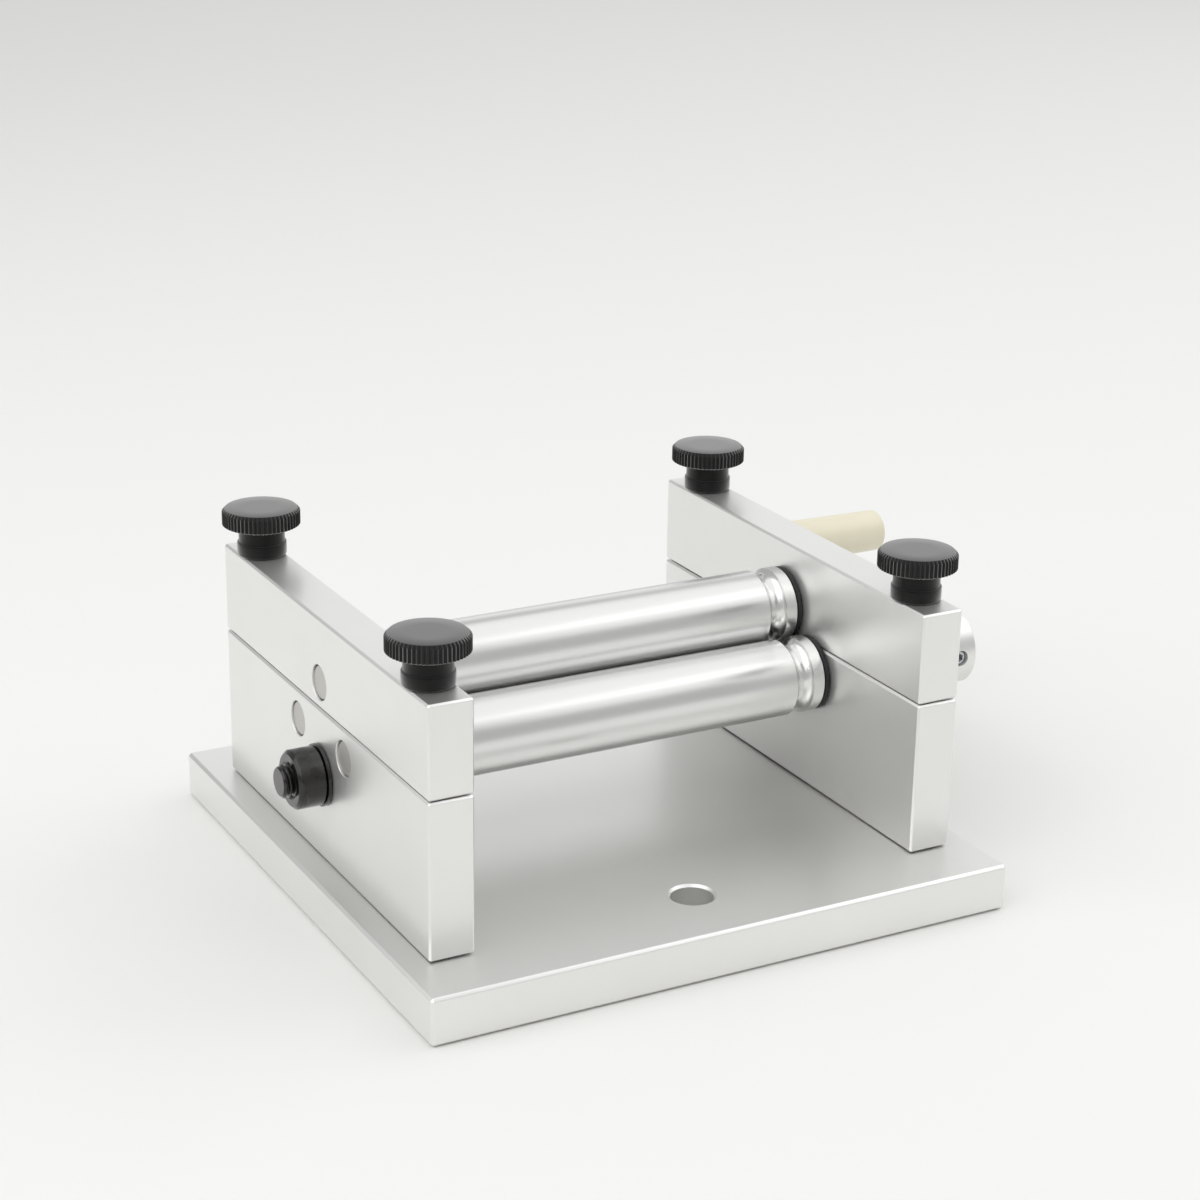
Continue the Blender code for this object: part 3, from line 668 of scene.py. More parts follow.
@dataclass(frozen=True)
class BlastedAluminium(Finish):
    """Milled aluminium, bead-blasted and clear anodised: an even grey glow with fine grit."""

    second_colour: str = "#E9E9E7"
    roughness_swing: float = 0.03
    strength: float = 0.35
    grit: float = 0.35 * MM
    cloud: float = 28 * MM
    coat: float = 0.35
    coat_roughness: float = 0.14

    def add_pattern(self, tree: bpy.types.NodeTree, shader: bpy.types.Node) -> None:
        """Add grit, soft clouds in the anodising and its glossy clear film.

        Args:
            tree: The material's nodes.
            shader: Its shader.
        """
        place = add_node(tree, "ShaderNodeTexCoord").outputs["Object"]
        soft = {"Vector": place, "Scale": 1 / self.cloud, "Detail": 3.0}
        fine = {"Vector": place, "Scale": 1 / self.grit, "Detail": 2.0}
        self.add_clouds(tree, shader, add_node(tree, "ShaderNodeTexNoise", soft).outputs["Fac"])
        self.add_grain(tree, shader, add_node(tree, "ShaderNodeTexNoise", fine).outputs["Fac"])
        shader.inputs["Coat Weight"].default_value = self.coat
        shader.inputs["Coat Roughness"].default_value = self.coat_roughness


@dataclass(frozen=True)
class TurnedSteel(Finish):
    """Steel turned and satin polished on the lathe: fine rings round the axis."""

    roughness_swing: float = 0.01
    bump: float = 0.004 * MM
    strength: float = 0.02
    ring_pitch: float = 0.25 * MM

    def add_pattern(self, tree: bpy.types.NodeTree, shader: bpy.types.Node) -> None:
        """Add the tool's fine rings, which run round the X axis.

        Args:
            tree: The material's nodes.
            shader: Its shader.
        """
        place = add_node(tree, "ShaderNodeTexCoord").outputs["Object"]
        along = add_node(tree, "ShaderNodeSeparateXYZ", {"Vector": place}).outputs["X"]
        fine = {"W": along, "Scale": 1 / self.ring_pitch, "Detail": 3.0}
        rings = add_node(tree, "ShaderNodeTexNoise", fine, noise_dimensions="1D")
        self.add_grain(tree, shader, rings.outputs["Fac"])


@dataclass(frozen=True)
class GrainedFinish(Finish):
    """A surface with one fine grain in its roughness and relief, as from a mould or a plating bath."""

    grain: float = 0.4 * MM
    cloud_share: float = 0.15
    coat: float = 0.0
    coat_roughness: float = 0.25
    sheen: float = 0.0
    sheen_roughness: float = 0.4
    specular_tint: str = "#FFFFFF"

    def add_pattern(self, tree: bpy.types.NodeTree, shader: bpy.types.Node) -> None:
        """Add the grain, and a faint cloud between two colours where the finish has two.

        Args:
            tree: The material's nodes.
            shader: Its shader.
        """
        place = add_node(tree, "ShaderNodeTexCoord").outputs["Object"]
        fine = {"Vector": place, "Scale": 1 / self.grain, "Detail": 3.0}
        self.add_grain(tree, shader, add_node(tree, "ShaderNodeTexNoise", fine).outputs["Fac"])
        if self.second_colour:
            soft = {"Vector": place, "Scale": self.cloud_share / self.grain, "Detail": 2.0}
            self.add_clouds(tree, shader, add_node(tree, "ShaderNodeTexNoise", soft).outputs["Fac"])
        shader.inputs["Coat Weight"].default_value = self.coat
        shader.inputs["Coat Roughness"].default_value = self.coat_roughness
        shader.inputs["Sheen Weight"].default_value = self.sheen
        shader.inputs["Sheen Roughness"].default_value = self.sheen_roughness
        shader.inputs["Specular Tint"].default_value = linear(self.specular_tint)


# Clear anodised aluminium, bead-blasted: pale, nearly white where it mirrors light, with a thin
# glassy film that shows at a low angle.
ALUMINIUM = BlastedAluminium("clear_anodised_blasted_aluminium", Slot.ALUMINIUM, "#F0F0EE", 0.38, 0.85)
# Turned and satin polished free-cutting steel: soft long streaks of light with fine rings.
STEEL = TurnedSteel("turned_satin_steel", Slot.STEEL, "#E7E7E6", 0.29, 0.9)
# The same steel, polished with a round tool in the wire groove: small hard highlights.
GROOVE_STEEL = TurnedSteel("polished_groove_steel", Slot.STEEL, "#E7E7E6", 0.24, 1.0)
# The same steel where the journals' ends were faced off and left as cut: a duller, darker grey.
FACED_STEEL = GrainedFinish("faced_steel_end", Slot.STEEL, "#C8C6C1", 0.45, 0.8, grain=0.3 * MM)
# Punched black nylon sheet: matt and nearly black.
NYLON = GrainedFinish("punched_black_nylon", Slot.NYLON, "#1D1D1D", 0.55, grain=0.3 * MM)
# Turned steel, black oxide and oil: nearly black, with the soft grey gloss of the oil film.
OXIDE = GrainedFinish(
    "oiled_black_oxide_steel",
    Slot.OXIDE,
    "#232221",
    0.25,
    0.6,
    second_colour="#201F1E",
    roughness_swing=0.03,
    grain=0.25 * MM,
    coat=0.6,
    coat_roughness=0.15,
)
# Moulded glass-filled nylon heads: black, with a fine spark-eroded grain that goes grey at a low angle.
PLASTIC = GrainedFinish(
    "moulded_black_nylon",
    Slot.PLASTIC,
    "#131212",
    0.32,
    second_colour="#100F0F",
    grain=0.3 * MM,
    sheen=1.0,
    specular_tint="#959595",
)
# Bright zinc plate on cut and rolled screws.
ZINC = GrainedFinish(
    "bright_zinc_plate", Slot.ZINC, "#C9CBCD", 0.28, 1.0, second_colour="#BDC0C4", grain=0.5 * MM
)
# Drawn music wire, lightly oiled.
SPRING = GrainedFinish("drawn_spring_wire", Slot.SPRING, "#A9AAAC", 0.26, 1.0, grain=0.2 * MM)
# Injection moulded cream plastic, a little glossy, with a faint mottle.
CREAM = GrainedFinish(
    "moulded_cream_plastic",
    Slot.CREAM,
    "#EAE4CE",
    0.36,
    second_colour="#E6DFC6",
    bump=0.008 * MM,
    grain=0.5 * MM,
)


class Workshop:
    """Makes each material once, and puts finished pieces into the frame."""

    def __init__(self) -> None:
        """Start with no materials made."""
        self.materials: dict[str, bpy.types.Material] = {}

    def material(self, finish: Finish) -> bpy.types.Material:
        """Find a finish's material, or make it when it is first wanted.

        Args:
            finish: The finish.

        Returns:
            Its material.
        """
        if finish.name not in self.materials:
            self.materials[finish.name] = finish.build()
        return self.materials[finish.name]

    def dress(self, item: Piece, node: str, finish: Finish) -> None:
        """Dress a piece that stands for a node.

        Args:
            item: The finished piece.
            node: The node that it stands for.
            finish: The finish that it wears.
        """
        item.data.materials.clear()
        item.data.materials.append(self.material(finish))
        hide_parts(node)
        LOG.info("%s: %d faces, %s", item.name, len(item.data.polygons), finish.name)

    def fit(self, item: Piece, node: str, body: str, finish: Finish) -> None:
        """Dress a piece, and let it ride on a body in place of a node.

        Args:
            item: The finished piece.
            node: The node that it stands for.
            body: The body that it rides on.
            finish: The finish that it wears.
        """
        self.dress(item, node, finish)
        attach(item, body)


@dataclass
class BasePlate:
    """The square base plate and the cap screws that hold the side blocks from under it."""

    shop: Workshop
    chamfer: float = 0.7 * MM
    shoulder: float = 0.12 * MM
    bench_hole_diameter: float = 10.2 * MM
    bench_hole_setback: float = 19.5 * MM
    bench_hole_chamfer: float = 0.6 * MM
    counterbore_clearance: float = 0.5 * MM
    counterbore_depth: float = 5.8 * MM
    counterbore_lip: float = 0.3 * MM
    screw_diameter: float = 5.0 * MM
    screw_clearance: float = 0.4 * MM
    screw_chamfer: float = 0.5 * MM
    screw_fillet: float = 0.2 * MM
    head_height: float = 5.0 * MM
    head_rounding: float = 0.5 * MM
    head_edge: float = 0.1 * MM
    socket_size: float = 4.0 * MM

    def build(self) -> None:
        """Make the plate and its four screws."""
        low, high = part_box("base_plate")
        plate = milled_block("base_plate", self.chamfer, self.shoulder)
        radius = self.bench_hole_diameter / 2
        for side in (-1, 1):
            point = Vector((0, side * (high.y - self.bench_hole_setback), 0))
            drill(plate, "base_plate", point, Axis.Z, radius, self.bench_hole_chamfer)
        for corner in CORNERS:
            cut(plate, self.counterbore(f"{corner}_base_screw", low, high.z - low.z))
        shade(plate, FLAT_ANGLE)
        self.shop.fit(plate, "base_plate", "frame", ALUMINIUM)
        for corner in CORNERS:
            self.build_screw(f"{corner}_base_screw")

    def counterbore(self, screw: str, bottom: Vector, thickness: float) -> Piece:
        """Make the stepped cutter round one base screw.

        Args:
            screw: The screw's node.
            bottom: A point on the plate's underside.
            thickness: The plate's thickness.

        Returns:
            The cutter.
        """
        low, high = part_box(screw)
        bore = (high.x - low.x) / 2 + self.counterbore_clearance
        neck = self.screw_diameter / 2 + self.screw_clearance
        profile = [
            (0, -CUTTER_OVERRUN),
            (bore + self.counterbore_lip + CUTTER_OVERRUN, -CUTTER_OVERRUN),
            (bore, self.counterbore_lip),
            (bore, self.counterbore_depth),
            (neck, self.counterbore_depth),
            (neck, thickness + CUTTER_OVERRUN),
            (0, thickness + CUTTER_OVERRUN),
        ]
        return turn("counterbore", profile, Axis.Z.slide(middle_of(screw), bottom), Axis.Z)

    def build_screw(self, node: str) -> None:
        """Make one cap screw, its head down in the counterbore.

        Args:
            node: The screw's node.
        """
        low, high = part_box(node)
        centre = Axis.Z.slide(middle_of(node), low)
        head = (high.x - low.x) / 2
        shank = self.screw_diameter / 2
        length = high.z - low.z
        corners = [
            (0, 0, 0),
            (head, 0, self.head_rounding),
            (head, self.head_height, self.head_edge),
            (shank, self.head_height, self.screw_fillet),
            (shank, length - self.screw_chamfer, 0),
            (shank - self.screw_chamfer, length, 0),
            (0, length, 0),
        ]
        screw = turn(f"headed_{node}", rounded(corners), centre, Axis.Z)
        cut_socket(screw, self.socket_size, self.head_height / 2, centre, Axis.Z)
        shade(screw, SMOOTH_ANGLE)
        self.shop.fit(screw, node, "frame", OXIDE)


@dataclass
class SideBlocks:
    """The two lower side blocks, with the stay bar that ties them, its studs, nuts and washers."""

    shop: Workshop
    chamfer: float = 0.5 * MM
    shoulder: float = 0.08 * MM
    bore_radius: float = 4.3 * MM
    bore_chamfer: float = 0.1 * MM
    stay_hole_radius: float = 4.4 * MM
    pocket_radius: float = 4.05 * MM
    pocket_depth: float = 8.0 * MM
    pocket_lip: float = 0.2 * MM
    stud_hole_radius: float = 2.8 * MM
    stud_hole_depth: float = 23.5 * MM
    tap_radius: float = 2.8 * MM
    tap_depth: float = 15.2 * MM
    thread_pitch: float = 1.25 * MM
    thread_depth: float = 0.68 * MM
    thread_steps: int = 48
    stud_chamfer: float = 0.7 * MM
    nut_bore: float = 4.1 * MM
    nut_countersink: float = 0.5 * MM
    nut_chamfer: float = 0.8 * MM
    nut_edges: tuple[float, float, float] = (0.1 * MM, 0.2 * MM, 0.3 * MM)
    washer_edge: float = 0.12 * MM
    stay_tap_radius: float = 4.3 * MM
    stay_tap_runout: float = 1.5 * MM
    stay_chamfer: float = 0.5 * MM

    def build(self) -> None:
        """Make both blocks, the stay bar and what clamps them to it."""
        for side in SIDES:
            self.build_block(side)
            self.build_stay_stud(f"{side}_stay_stud")
            self.build_stay_nut(side)
            node = f"{side}_stay_washer"
            washer = punched_washer(node, self.stay_hole_radius, self.washer_edge, SEGMENTS, 2)
            self.shop.fit(washer, node, "frame", OXIDE)
        self.build_stay_bar()

    def build_block(self, side: str) -> None:
        """Make one block with its bores, pockets and tapped holes.

        Args:
            side: Which block: left or right.
        """
        node = f"{side}_side_block"
        low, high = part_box(node)
        block = milled_block(node, self.chamfer, self.shoulder)
        for roller in ("front_roller", "rear_roller"):
            drill(block, node, middle_of(roller), Axis.X, self.bore_radius, self.bore_chamfer)
        drill(block, node, middle_of("stay_bar"), Axis.X, self.stay_hole_radius, self.bore_chamfer)
        for end in ENDS:
            profile = [
                (0, CUTTER_OVERRUN),
                (self.pocket_radius + self.pocket_lip + CUTTER_OVERRUN, CUTTER_OVERRUN),
                (self.pocket_radius, -self.pocket_lip),
                (self.pocket_radius, -self.pocket_depth),
                (self.stud_hole_radius, -self.pocket_depth),
                (self.stud_hole_radius, -self.stud_hole_depth),
                (0, -self.stud_hole_depth - self.stud_hole_radius * DRILL_POINT_SLOPE),
            ]
            top = Axis.Z.slide(middle_of(f"{side}_{end}_thumb_stud"), high)
            cut(block, turn("pocket", profile, top, Axis.Z))
            profile = [
                (0, -CUTTER_OVERRUN),
                (self.tap_radius, -CUTTER_OVERRUN),
                (self.tap_radius, self.tap_depth),
                (0, self.tap_depth + self.tap_radius * DRILL_POINT_SLOPE),
            ]
            bottom = Axis.Z.slide(middle_of(f"{side}_{end}_base_screw"), low)
            cut(block, turn("tap", profile, bottom, Axis.Z))
        shade(block, FLAT_ANGLE)
        self.shop.fit(block, node, "frame", ALUMINIUM)

    def build_stay_stud(self, node: str) -> None:
        """Make a stud of the stay bar, threaded along its length and chamfered at both ends.

        Args:
            node: The stud's node.
        """
        low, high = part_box(node)
        centre = Axis.X.slide(middle_of(node), Vector())
        radius = (high.y - low.y) / 2
        thread = (radius, self.thread_depth, self.thread_pitch)
        stud = threaded_rod(f"threaded_{node}", *thread, low.x, high.x, self.thread_steps)
        stud.rotation_euler = Axis.X.turn_from_z
        stud.location = centre
        apply_place(stud)
        inside, outside = radius - self.stud_chamfer - CUTTER_OVERRUN, radius + CUTTER_OVERRUN
        for outward, end in ((-1, low.x), (1, high.x)):
            profile = [
                (inside, end + outward * CUTTER_OVERRUN),
                (outside, end - outward * (self.stud_chamfer + CUTTER_OVERRUN)),
                (outside, end + outward * CUTTER_OVERRUN),
            ]
            cut(stud, turn("end_chamfer", profile, centre, Axis.X, ring=True))
        shade(stud, SMOOTH_ANGLE)
        self.shop.fit(stud, node, "frame", OXIDE)

    def build_stay_nut(self, side: str) -> None:
        """Make the round nut on one stud, with a countersunk thread and a chamfered rim.

        Args:
            side: Which nut: left or right.
        """
        node = f"{side}_stay_nut"
        low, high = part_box(node)
        outer_face, inward = (low, 1) if side == "left" else (high, -1)
        bore, rim = self.nut_bore, (high.y - low.y) / 2
        length = inward * (high.x - low.x)
        sink, chamfer = self.nut_countersink, self.nut_chamfer
        fine, middling, coarse = self.nut_edges
        corners = [
            (bore, inward * sink, 0),
            (bore + sink, 0, fine),
            (rim - chamfer, 0, middling),
            (rim, inward * chamfer, coarse),
            (rim, length, middling),
            (bore + sink, length, 0),
            (bore, length - inward * sink, 0),
        ]
        centre = Axis.X.slide(middle_of(node), outer_face)
        nut = turn_ring(f"turned_{node}", corners, length, centre)
        self.shop.fit(nut, node, "frame", OXIDE)

    def build_stay_bar(self) -> None:
        """Make the round bar between the blocks, drilled and tapped at both ends."""
        low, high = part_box("stay_bar")
        radius = (high.z - low.z) / 2
        end = (high.x - low.x) / 2
        _, stud_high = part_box("left_stay_stud")
        floor = end - (stud_high.x - low.x) - self.stay_tap_runout
        tapped, chamfer = self.stay_tap_radius, self.stay_chamfer
        right = [
            (radius, end - chamfer),
            (radius - chamfer, end),
            (tapped + chamfer, end),
            (tapped, end - chamfer),
            (tapped, floor),
            (0, floor - tapped * DRILL_POINT_SLOPE),
        ]
        left = [(out, -reach) for out, reach in reversed(right)]
        bar = turn("turned_stay_bar", left + right, middle_of("stay_bar"), Axis.X)
        shade(bar, SMOOTH_ANGLE)
        self.shop.fit(bar, "stay_bar", "frame", ALUMINIUM)


@dataclass
class PressureBars:
    """The two bars that carry the top roller and rise on their springs."""

    shop: Workshop
    chamfer: float = 0.5 * MM
    shoulder: float = 0.08 * MM
    bore_radius: float = 4.3 * MM
    stud_hole_radius: float = 2.9 * MM
    bore_chamfer: float = 0.1 * MM

    def build(self) -> None:
        """Make both bars."""
        for side in SIDES:
            node = f"{side}_pressure_bar"
            bar = milled_block(node, self.chamfer, self.shoulder)
            drill(bar, node, middle_of("top_roller"), Axis.X, self.bore_radius, self.bore_chamfer)
            for end in ENDS:
                stud = middle_of(f"{side}_{end}_thumb_stud")
                drill(bar, node, stud, Axis.Z, self.stud_hole_radius, self.bore_chamfer)
            shade(bar, FLAT_ANGLE)
            self.shop.fit(bar, node, "press", ALUMINIUM)


@dataclass
class Rollers:
    """The three rollers and the thrust washers at their ends."""

    shop: Workshop
    journal_diameter: float = 8.0 * MM
    journal_chamfer: float = 0.2 * MM
    journal_fillet: float = 0.1 * MM
    end_gap: float = 0.3 * MM
    edge_rounding: float = 0.35 * MM
    collar_width: float = 3.1 * MM
    groove_width: float = 4.8 * MM
    groove_depth: float = 1.8 * MM
    groove_steps: int = 28
    groove_edge: float = 0.02 * MM
    flat_depth: float = 0.7 * MM
    flat_runout: float = 1.0 * MM
    washer_edge: float = 0.15 * MM
    segments: int = 160
    bodies: dict[str, tuple[str, str]] = field(
        default_factory=lambda: {
            "top": ("top_idler", "press"),
            "front": ("front_drive", "frame"),
            "rear": ("rear_idler", "frame"),
        }
    )

    def build(self) -> None:
        """Make the rollers and their washers."""
        bore = self.journal_diameter / 2 + self.end_gap
        for place, (body, washer_body) in self.bodies.items():
            self.build_roller(place, body)
            for side in SIDES:
                node = f"{place}_{side}_washer"
                washer = punched_washer(node, bore, self.washer_edge, self.segments, 3)
                self.shop.fit(washer, node, washer_body, NYLON)

    def groove(self, radius: float, centre: float) -> Profile:
        """Draw the round wire groove.

        Args:
            radius: The roller's radius.
            centre: Where the groove's middle is along the roller.

        Returns:
            The profile from the left lip to the right one.
        """
        half = self.groove_width / 2
        arc = (half**2 + self.groove_depth**2) / (2 * self.groove_depth)
        hub = radius - self.groove_depth + arc
        spread = math.asin(half / arc)
        points = []
        for i in range(self.groove_steps + 1):
            angle = spread * (2 * i / self.groove_steps - 1)
            points.append((hub - arc * math.cos(angle), centre + arc * math.sin(angle)))
        return points

    def build_roller(self, place: str, body: str) -> None:
        """Make one roller with its journals, groove and collar.

        Args:
            place: Which roller: top, front or rear.
            body: The body that it rides on.
        """
        node = f"{place}_roller"
        low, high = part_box(node)
        centre = Axis.X.slide(middle_of(node), Vector())
        radius = (high.z - low.z) / 2
        journal, chamfer = self.journal_diameter / 2, self.journal_chamfer
        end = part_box(f"{place}_right_washer")[0].x - self.end_gap
        left = [
            (0, low.x, 0),
            (journal - chamfer, low.x, 0),
            (journal, low.x + chamfer, 0),
            (journal, -end, self.journal_fillet),
            (radius, -end, self.edge_rounding),
            (radius, 0, 0),
        ]
        right = [
            (radius, end - self.collar_width / 2, 0),
            (radius, end, self.edge_rounding),
            (journal, end, self.journal_fillet),
            (journal, high.x - chamfer, 0),
            (journal - chamfer, high.x, 0),
            (0, high.x, 0),
        ]
        groove_centre = end - self.collar_width - self.groove_width / 2
        profile = rounded(left)[:-1] + self.groove(radius, groove_centre) + rounded(right)[1:]
        roller = turn(f"turned_{node}", profile, centre, Axis.X, self.segments)
        if place == "front":
            self.mill_flat(roller, centre, high.x)
        shade(roller, SMOOTH_ANGLE)
        self.shop.fit(roller, node, body, STEEL)
        self.polish_groove(roller, centre, groove_centre, radius)
        self.face_ends(roller, low.x, high.x)

    def polish_groove(self, roller: Piece, centre: Vector, groove_centre: float, radius: float) -> None:
        """Give the groove's faces the polished finish.

        Args:
            roller: The roller.
            centre: A point on its axis.
            groove_centre: Where the groove's middle is along it.
            radius: Its radius.
        """
        roller.data.materials.append(self.shop.material(GROOVE_STEEL))
        for face in roller.data.polygons:
            off = face.center - centre
            inside = abs(face.center.x - groove_centre) < self.groove_width / 2
            if inside and math.hypot(off.y, off.z) < radius - self.groove_edge:
                face.material_index = 1

    def face_ends(self, roller: Piece, left: float, right: float) -> None:
        """Give the journals' end faces the faced finish.

        Args:
            roller: The roller.
            left: The left-hand end face's place along it.
            right: The right-hand end face's place.
        """
        roller.data.materials.append(self.shop.material(FACED_STEEL))
        for face in roller.data.polygons:
            if min(abs(face.center.x - left), abs(face.center.x - right)) < NEAR:
                face.material_index = 2

    def mill_flat(self, roller: Piece, centre: Vector, shaft_end: float) -> None:
        """Mill the flat for the crank's set screw at the drive shaft's end.

        Args:
            roller: The front roller.
            centre: A point on its axis.
            shaft_end: The shaft's right-hand end.
        """
        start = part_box("crank_arm")[0].x - self.flat_runout
        length = shaft_end + CUTTER_OVERRUN - start
        depth = self.journal_diameter
        flat_y = centre.y - depth / 2 + self.flat_depth
        location = (start + length / 2, flat_y - depth / 2, centre.z)
        scale = (length, depth, 2 * depth)
        cube = bpy.ops.mesh.primitive_cube_add
        cut(roller, add_primitive("flat", cube, size=1.0, location=location, scale=scale))


@dataclass
class ThumbScrews:
    """The four thumb screws: ribbed heads, threaded studs and the lift springs round them."""

    shop: Workshop
    rib_count: int = 56
    steps_per_rib: int = 8
    rib_depth: float = 0.4 * MM
    disc_chamfer: float = 0.8 * MM
    disc_shoulder: tuple[float, float] = (0.25 * MM, 0.06 * MM)
    lower_chamfer: float = 0.3 * MM
    neck_diameter: float = 11.2 * MM
    neck_height: float = 4.1 * MM
    neck_fillets: tuple[float, float] = (0.15 * MM, 0.3 * MM)
    collar_diameter: float = 12.0 * MM
    collar_height: float = 3.2 * MM
    collar_rounding: float = 0.3 * MM
    stud_socket_radius: float = 2.8 * MM
    stud_socket_lip: float = 0.3 * MM
    stud_gap: float = 0.3 * MM
    thread_pitch: float = 0.8 * MM
    thread_depth: float = 0.43 * MM
    thread_steps: int = 36
    wire_diameter: float = 0.7 * MM
    coil_radius: float = 3.4 * MM
    coil_turns: int = 4
    closed_turns: int = 2
    closed_pitch_share: float = 0.93
    ground_share: float = 0.1
    coil_steps: int = 40
    wire_steps: int = 14

    def build(self) -> None:
        """Make the first corner's screw and spring, and copy them to the other corners."""
        first = CORNERS[0]
        origin = middle_of(f"{first}_thumb_stud")
        originals = [self.build_head(first), self.build_stud(first), self.build_spring(first)]
        for corner in CORNERS:
            here = middle_of(f"{corner}_thumb_stud")
            offset = Vector((here.x - origin.x, here.y - origin.y, 0))
            pieces = originals
            if corner != first:
                pieces = [copy_piece(item, item.name.replace(first, corner), offset) for item in originals]
            head, stud, spring = pieces
            self.shop.fit(head, f"{corner}_thumb_head", f"{corner}_thumb", PLASTIC)
            self.shop.fit(stud, f"{corner}_thumb_stud", f"{corner}_thumb", ZINC)
            self.fit_spring(spring, f"{corner}_lift_spring")

    def build_head(self, corner: str) -> Piece:
        """Make a ribbed head by drawing one circle out, ring by ring.

        Args:
            corner: The corner that it stands on.

        Returns:
            The head.
        """
        low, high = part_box(f"{corner}_thumb_head")
        stud = middle_of(f"{corner}_thumb_stud")
        stud_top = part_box(f"{corner}_thumb_stud")[1].z
        radius = (high.x - low.x) / 2
        socket, lip = self.stud_socket_radius, self.stud_socket_lip
        collar, neck = self.collar_diameter / 2, self.neck_diameter / 2
        neck_z = low.z + self.collar_height
        disc_z = neck_z + self.neck_height
        lower_fillet, upper_fillet = self.neck_fillets
        corners = [
            (socket, stud_top + self.stud_gap, 0),
            (socket, low.z + lip, 0),
            (socket + lip, low.z, 0),
            (collar, low.z, self.collar_rounding),
            (collar, neck_z, self.collar_rounding),
            (neck, neck_z, lower_fillet),
            (neck, disc_z, upper_fillet),
            (radius - self.lower_chamfer - self.rib_depth, disc_z, 0),
        ]
        rib_low, rib_high = disc_z + self.lower_chamfer, high.z - self.disc_chamfer
        shoulder_width, shoulder_drop = self.disc_shoulder
        profile = rounded(corners, 3) + [
            (radius, rib_low),
            (radius, rib_high),
            (radius - self.disc_chamfer, high.z - shoulder_drop),
            (radius - self.disc_chamfer - shoulder_width, high.z),
            (radius / 2, high.z),
        ]
        start_radius, start_z = profile[0]
        head = add_primitive(
            f"moulded_{corner}_thumb_head",
            bpy.ops.mesh.primitive_circle_add,
            vertices=self.rib_count * self.steps_per_rib,
            radius=start_radius,
            location=(stud.x, stud.y, start_z),
        )
        with editing(head):
            self.draw_out(profile, stud)
            bpy.ops.mesh.merge(type="CENTER")
            pick_vertices(head, lambda place: abs(place.z - start_z) < NEAR)
            bpy.ops.mesh.extrude_region_move()
            bpy.ops.mesh.merge(type="CENTER")
            self.press_ribs(head, stud, radius, rib_low, rib_high)
        seal(head)
        shade(head, SMOOTH_ANGLE)
        return head

    def draw_out(self, profile: Profile, axis: Vector) -> None:
        """Extrude the selected circle along a profile, and once more in place at its end.

        Args:
            profile: The circle's radius and height at each ring.
            axis: A point on the vertical axis.
        """
        for (radius, height), (next_radius, next_height) in zip(profile, profile[1:]):
            bpy.ops.mesh.extrude_region_move(TRANSFORM_OT_translate={"value": (0, 0, next_height - height)})
            share = next_radius / radius
            bpy.ops.transform.resize(value=(share, share, 1), center_override=(axis.x, axis.y, next_height))
        bpy.ops.mesh.extrude_region_move()

    def press_ribs(self, head: Piece, axis: Vector, radius: float, low: float, high: float) -> None:
        """Draw the disc's side in between its ribs.

        Args:
            head: The head, in edit mode.
            axis: A point on its axis.
            radius: The ribs' outer radius.
            low: The height of the ribs' lower ring.
            high: The height of the ribs' upper ring.
        """
        for step in range(1, self.steps_per_rib // 2 + 1):

            def on_side(place: Vector, step: int = step) -> bool:
                """Tell whether a place is on the disc's side, this many steps from a crest."""
                return low - NEAR < place.z < high + NEAR and self.is_step(place - axis, step)

            pick_vertices(head, on_side)
            depth = self.rib_depth * math.sin(math.pi * step / self.steps_per_rib) ** 2
            share = 1 - depth / radius
            bpy.ops.transform.resize(value=(share, share, 1), center_override=axis)

    def is_step(self, off: Vector, step: int) -> bool:
        """Tell whether a vertex is a number of steps from a rib's crest, one way or the other.

        Args:
            off: The vertex's place from the head's axis.
            step: The number of steps.

        Returns:
            Whether it is.
        """
        count = self.rib_count * self.steps_per_rib
        past_crest = round(math.atan2(off.y, off.x) / math.tau * count) % self.steps_per_rib
        return past_crest in (step, self.steps_per_rib - step)

    def build_stud(self, corner: str) -> Piece:
        """Make a threaded stud.

        Args:
            corner: The corner that it stands on.

        Returns:
            The stud.
        """
        node = f"{corner}_thumb_stud"
        low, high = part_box(node)
        thread = ((high.x - low.x) / 2, self.thread_depth, self.thread_pitch)
        stud = threaded_rod(f"threaded_{node}", *thread, low.z, high.z, self.thread_steps)
        stud.location = Axis.Z.slide(middle_of(node), Vector())
        apply_place(stud)
        shade(stud, SMOOTH_ANGLE)
        return stud

    def build_spring(self, corner: str) -> Piece:
        """Make a lift spring: a round wire wound up, with its ends closed and ground flat.

        Args:
            corner: The corner that it stands in.

        Returns:
            The spring.
        """
        node = f"{corner}_lift_spring"
        low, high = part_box(node)
        spring = add_primitive(
            f"coiled_{node}",
            bpy.ops.mesh.primitive_circle_add,
            vertices=self.wire_steps,
            radius=self.wire_diameter / 2,
            location=(self.coil_radius, 0, 0),
            rotation=(math.pi / 2, 0, 0),
        )
        turns = self.coil_turns + self.closed_turns
        steps = self.coil_steps * turns
        climb = turns * MM
        wind(spring, math.tau * turns, climb, steps)
        with editing(spring):
            mesh = bmesh.from_edit_mesh(spring.data)
            mesh.verts.ensure_lookup_table()
            for i, vertex in enumerate(mesh.verts):
                share = i // self.wire_steps / steps
                vertex.co.z += self.coil_height(low.z, high.z, turns * share) - climb * share
            bmesh.update_edit_mesh(spring.data)
            bpy.ops.mesh.fill_holes(sides=self.wire_steps)
        trim(spring, low.z, high.z)
        spring.location = Axis.Z.slide(middle_of(f"{corner}_thumb_stud"), Vector())
        apply_place(spring)
        shade(spring, SMOOTH_ANGLE)
        return spring

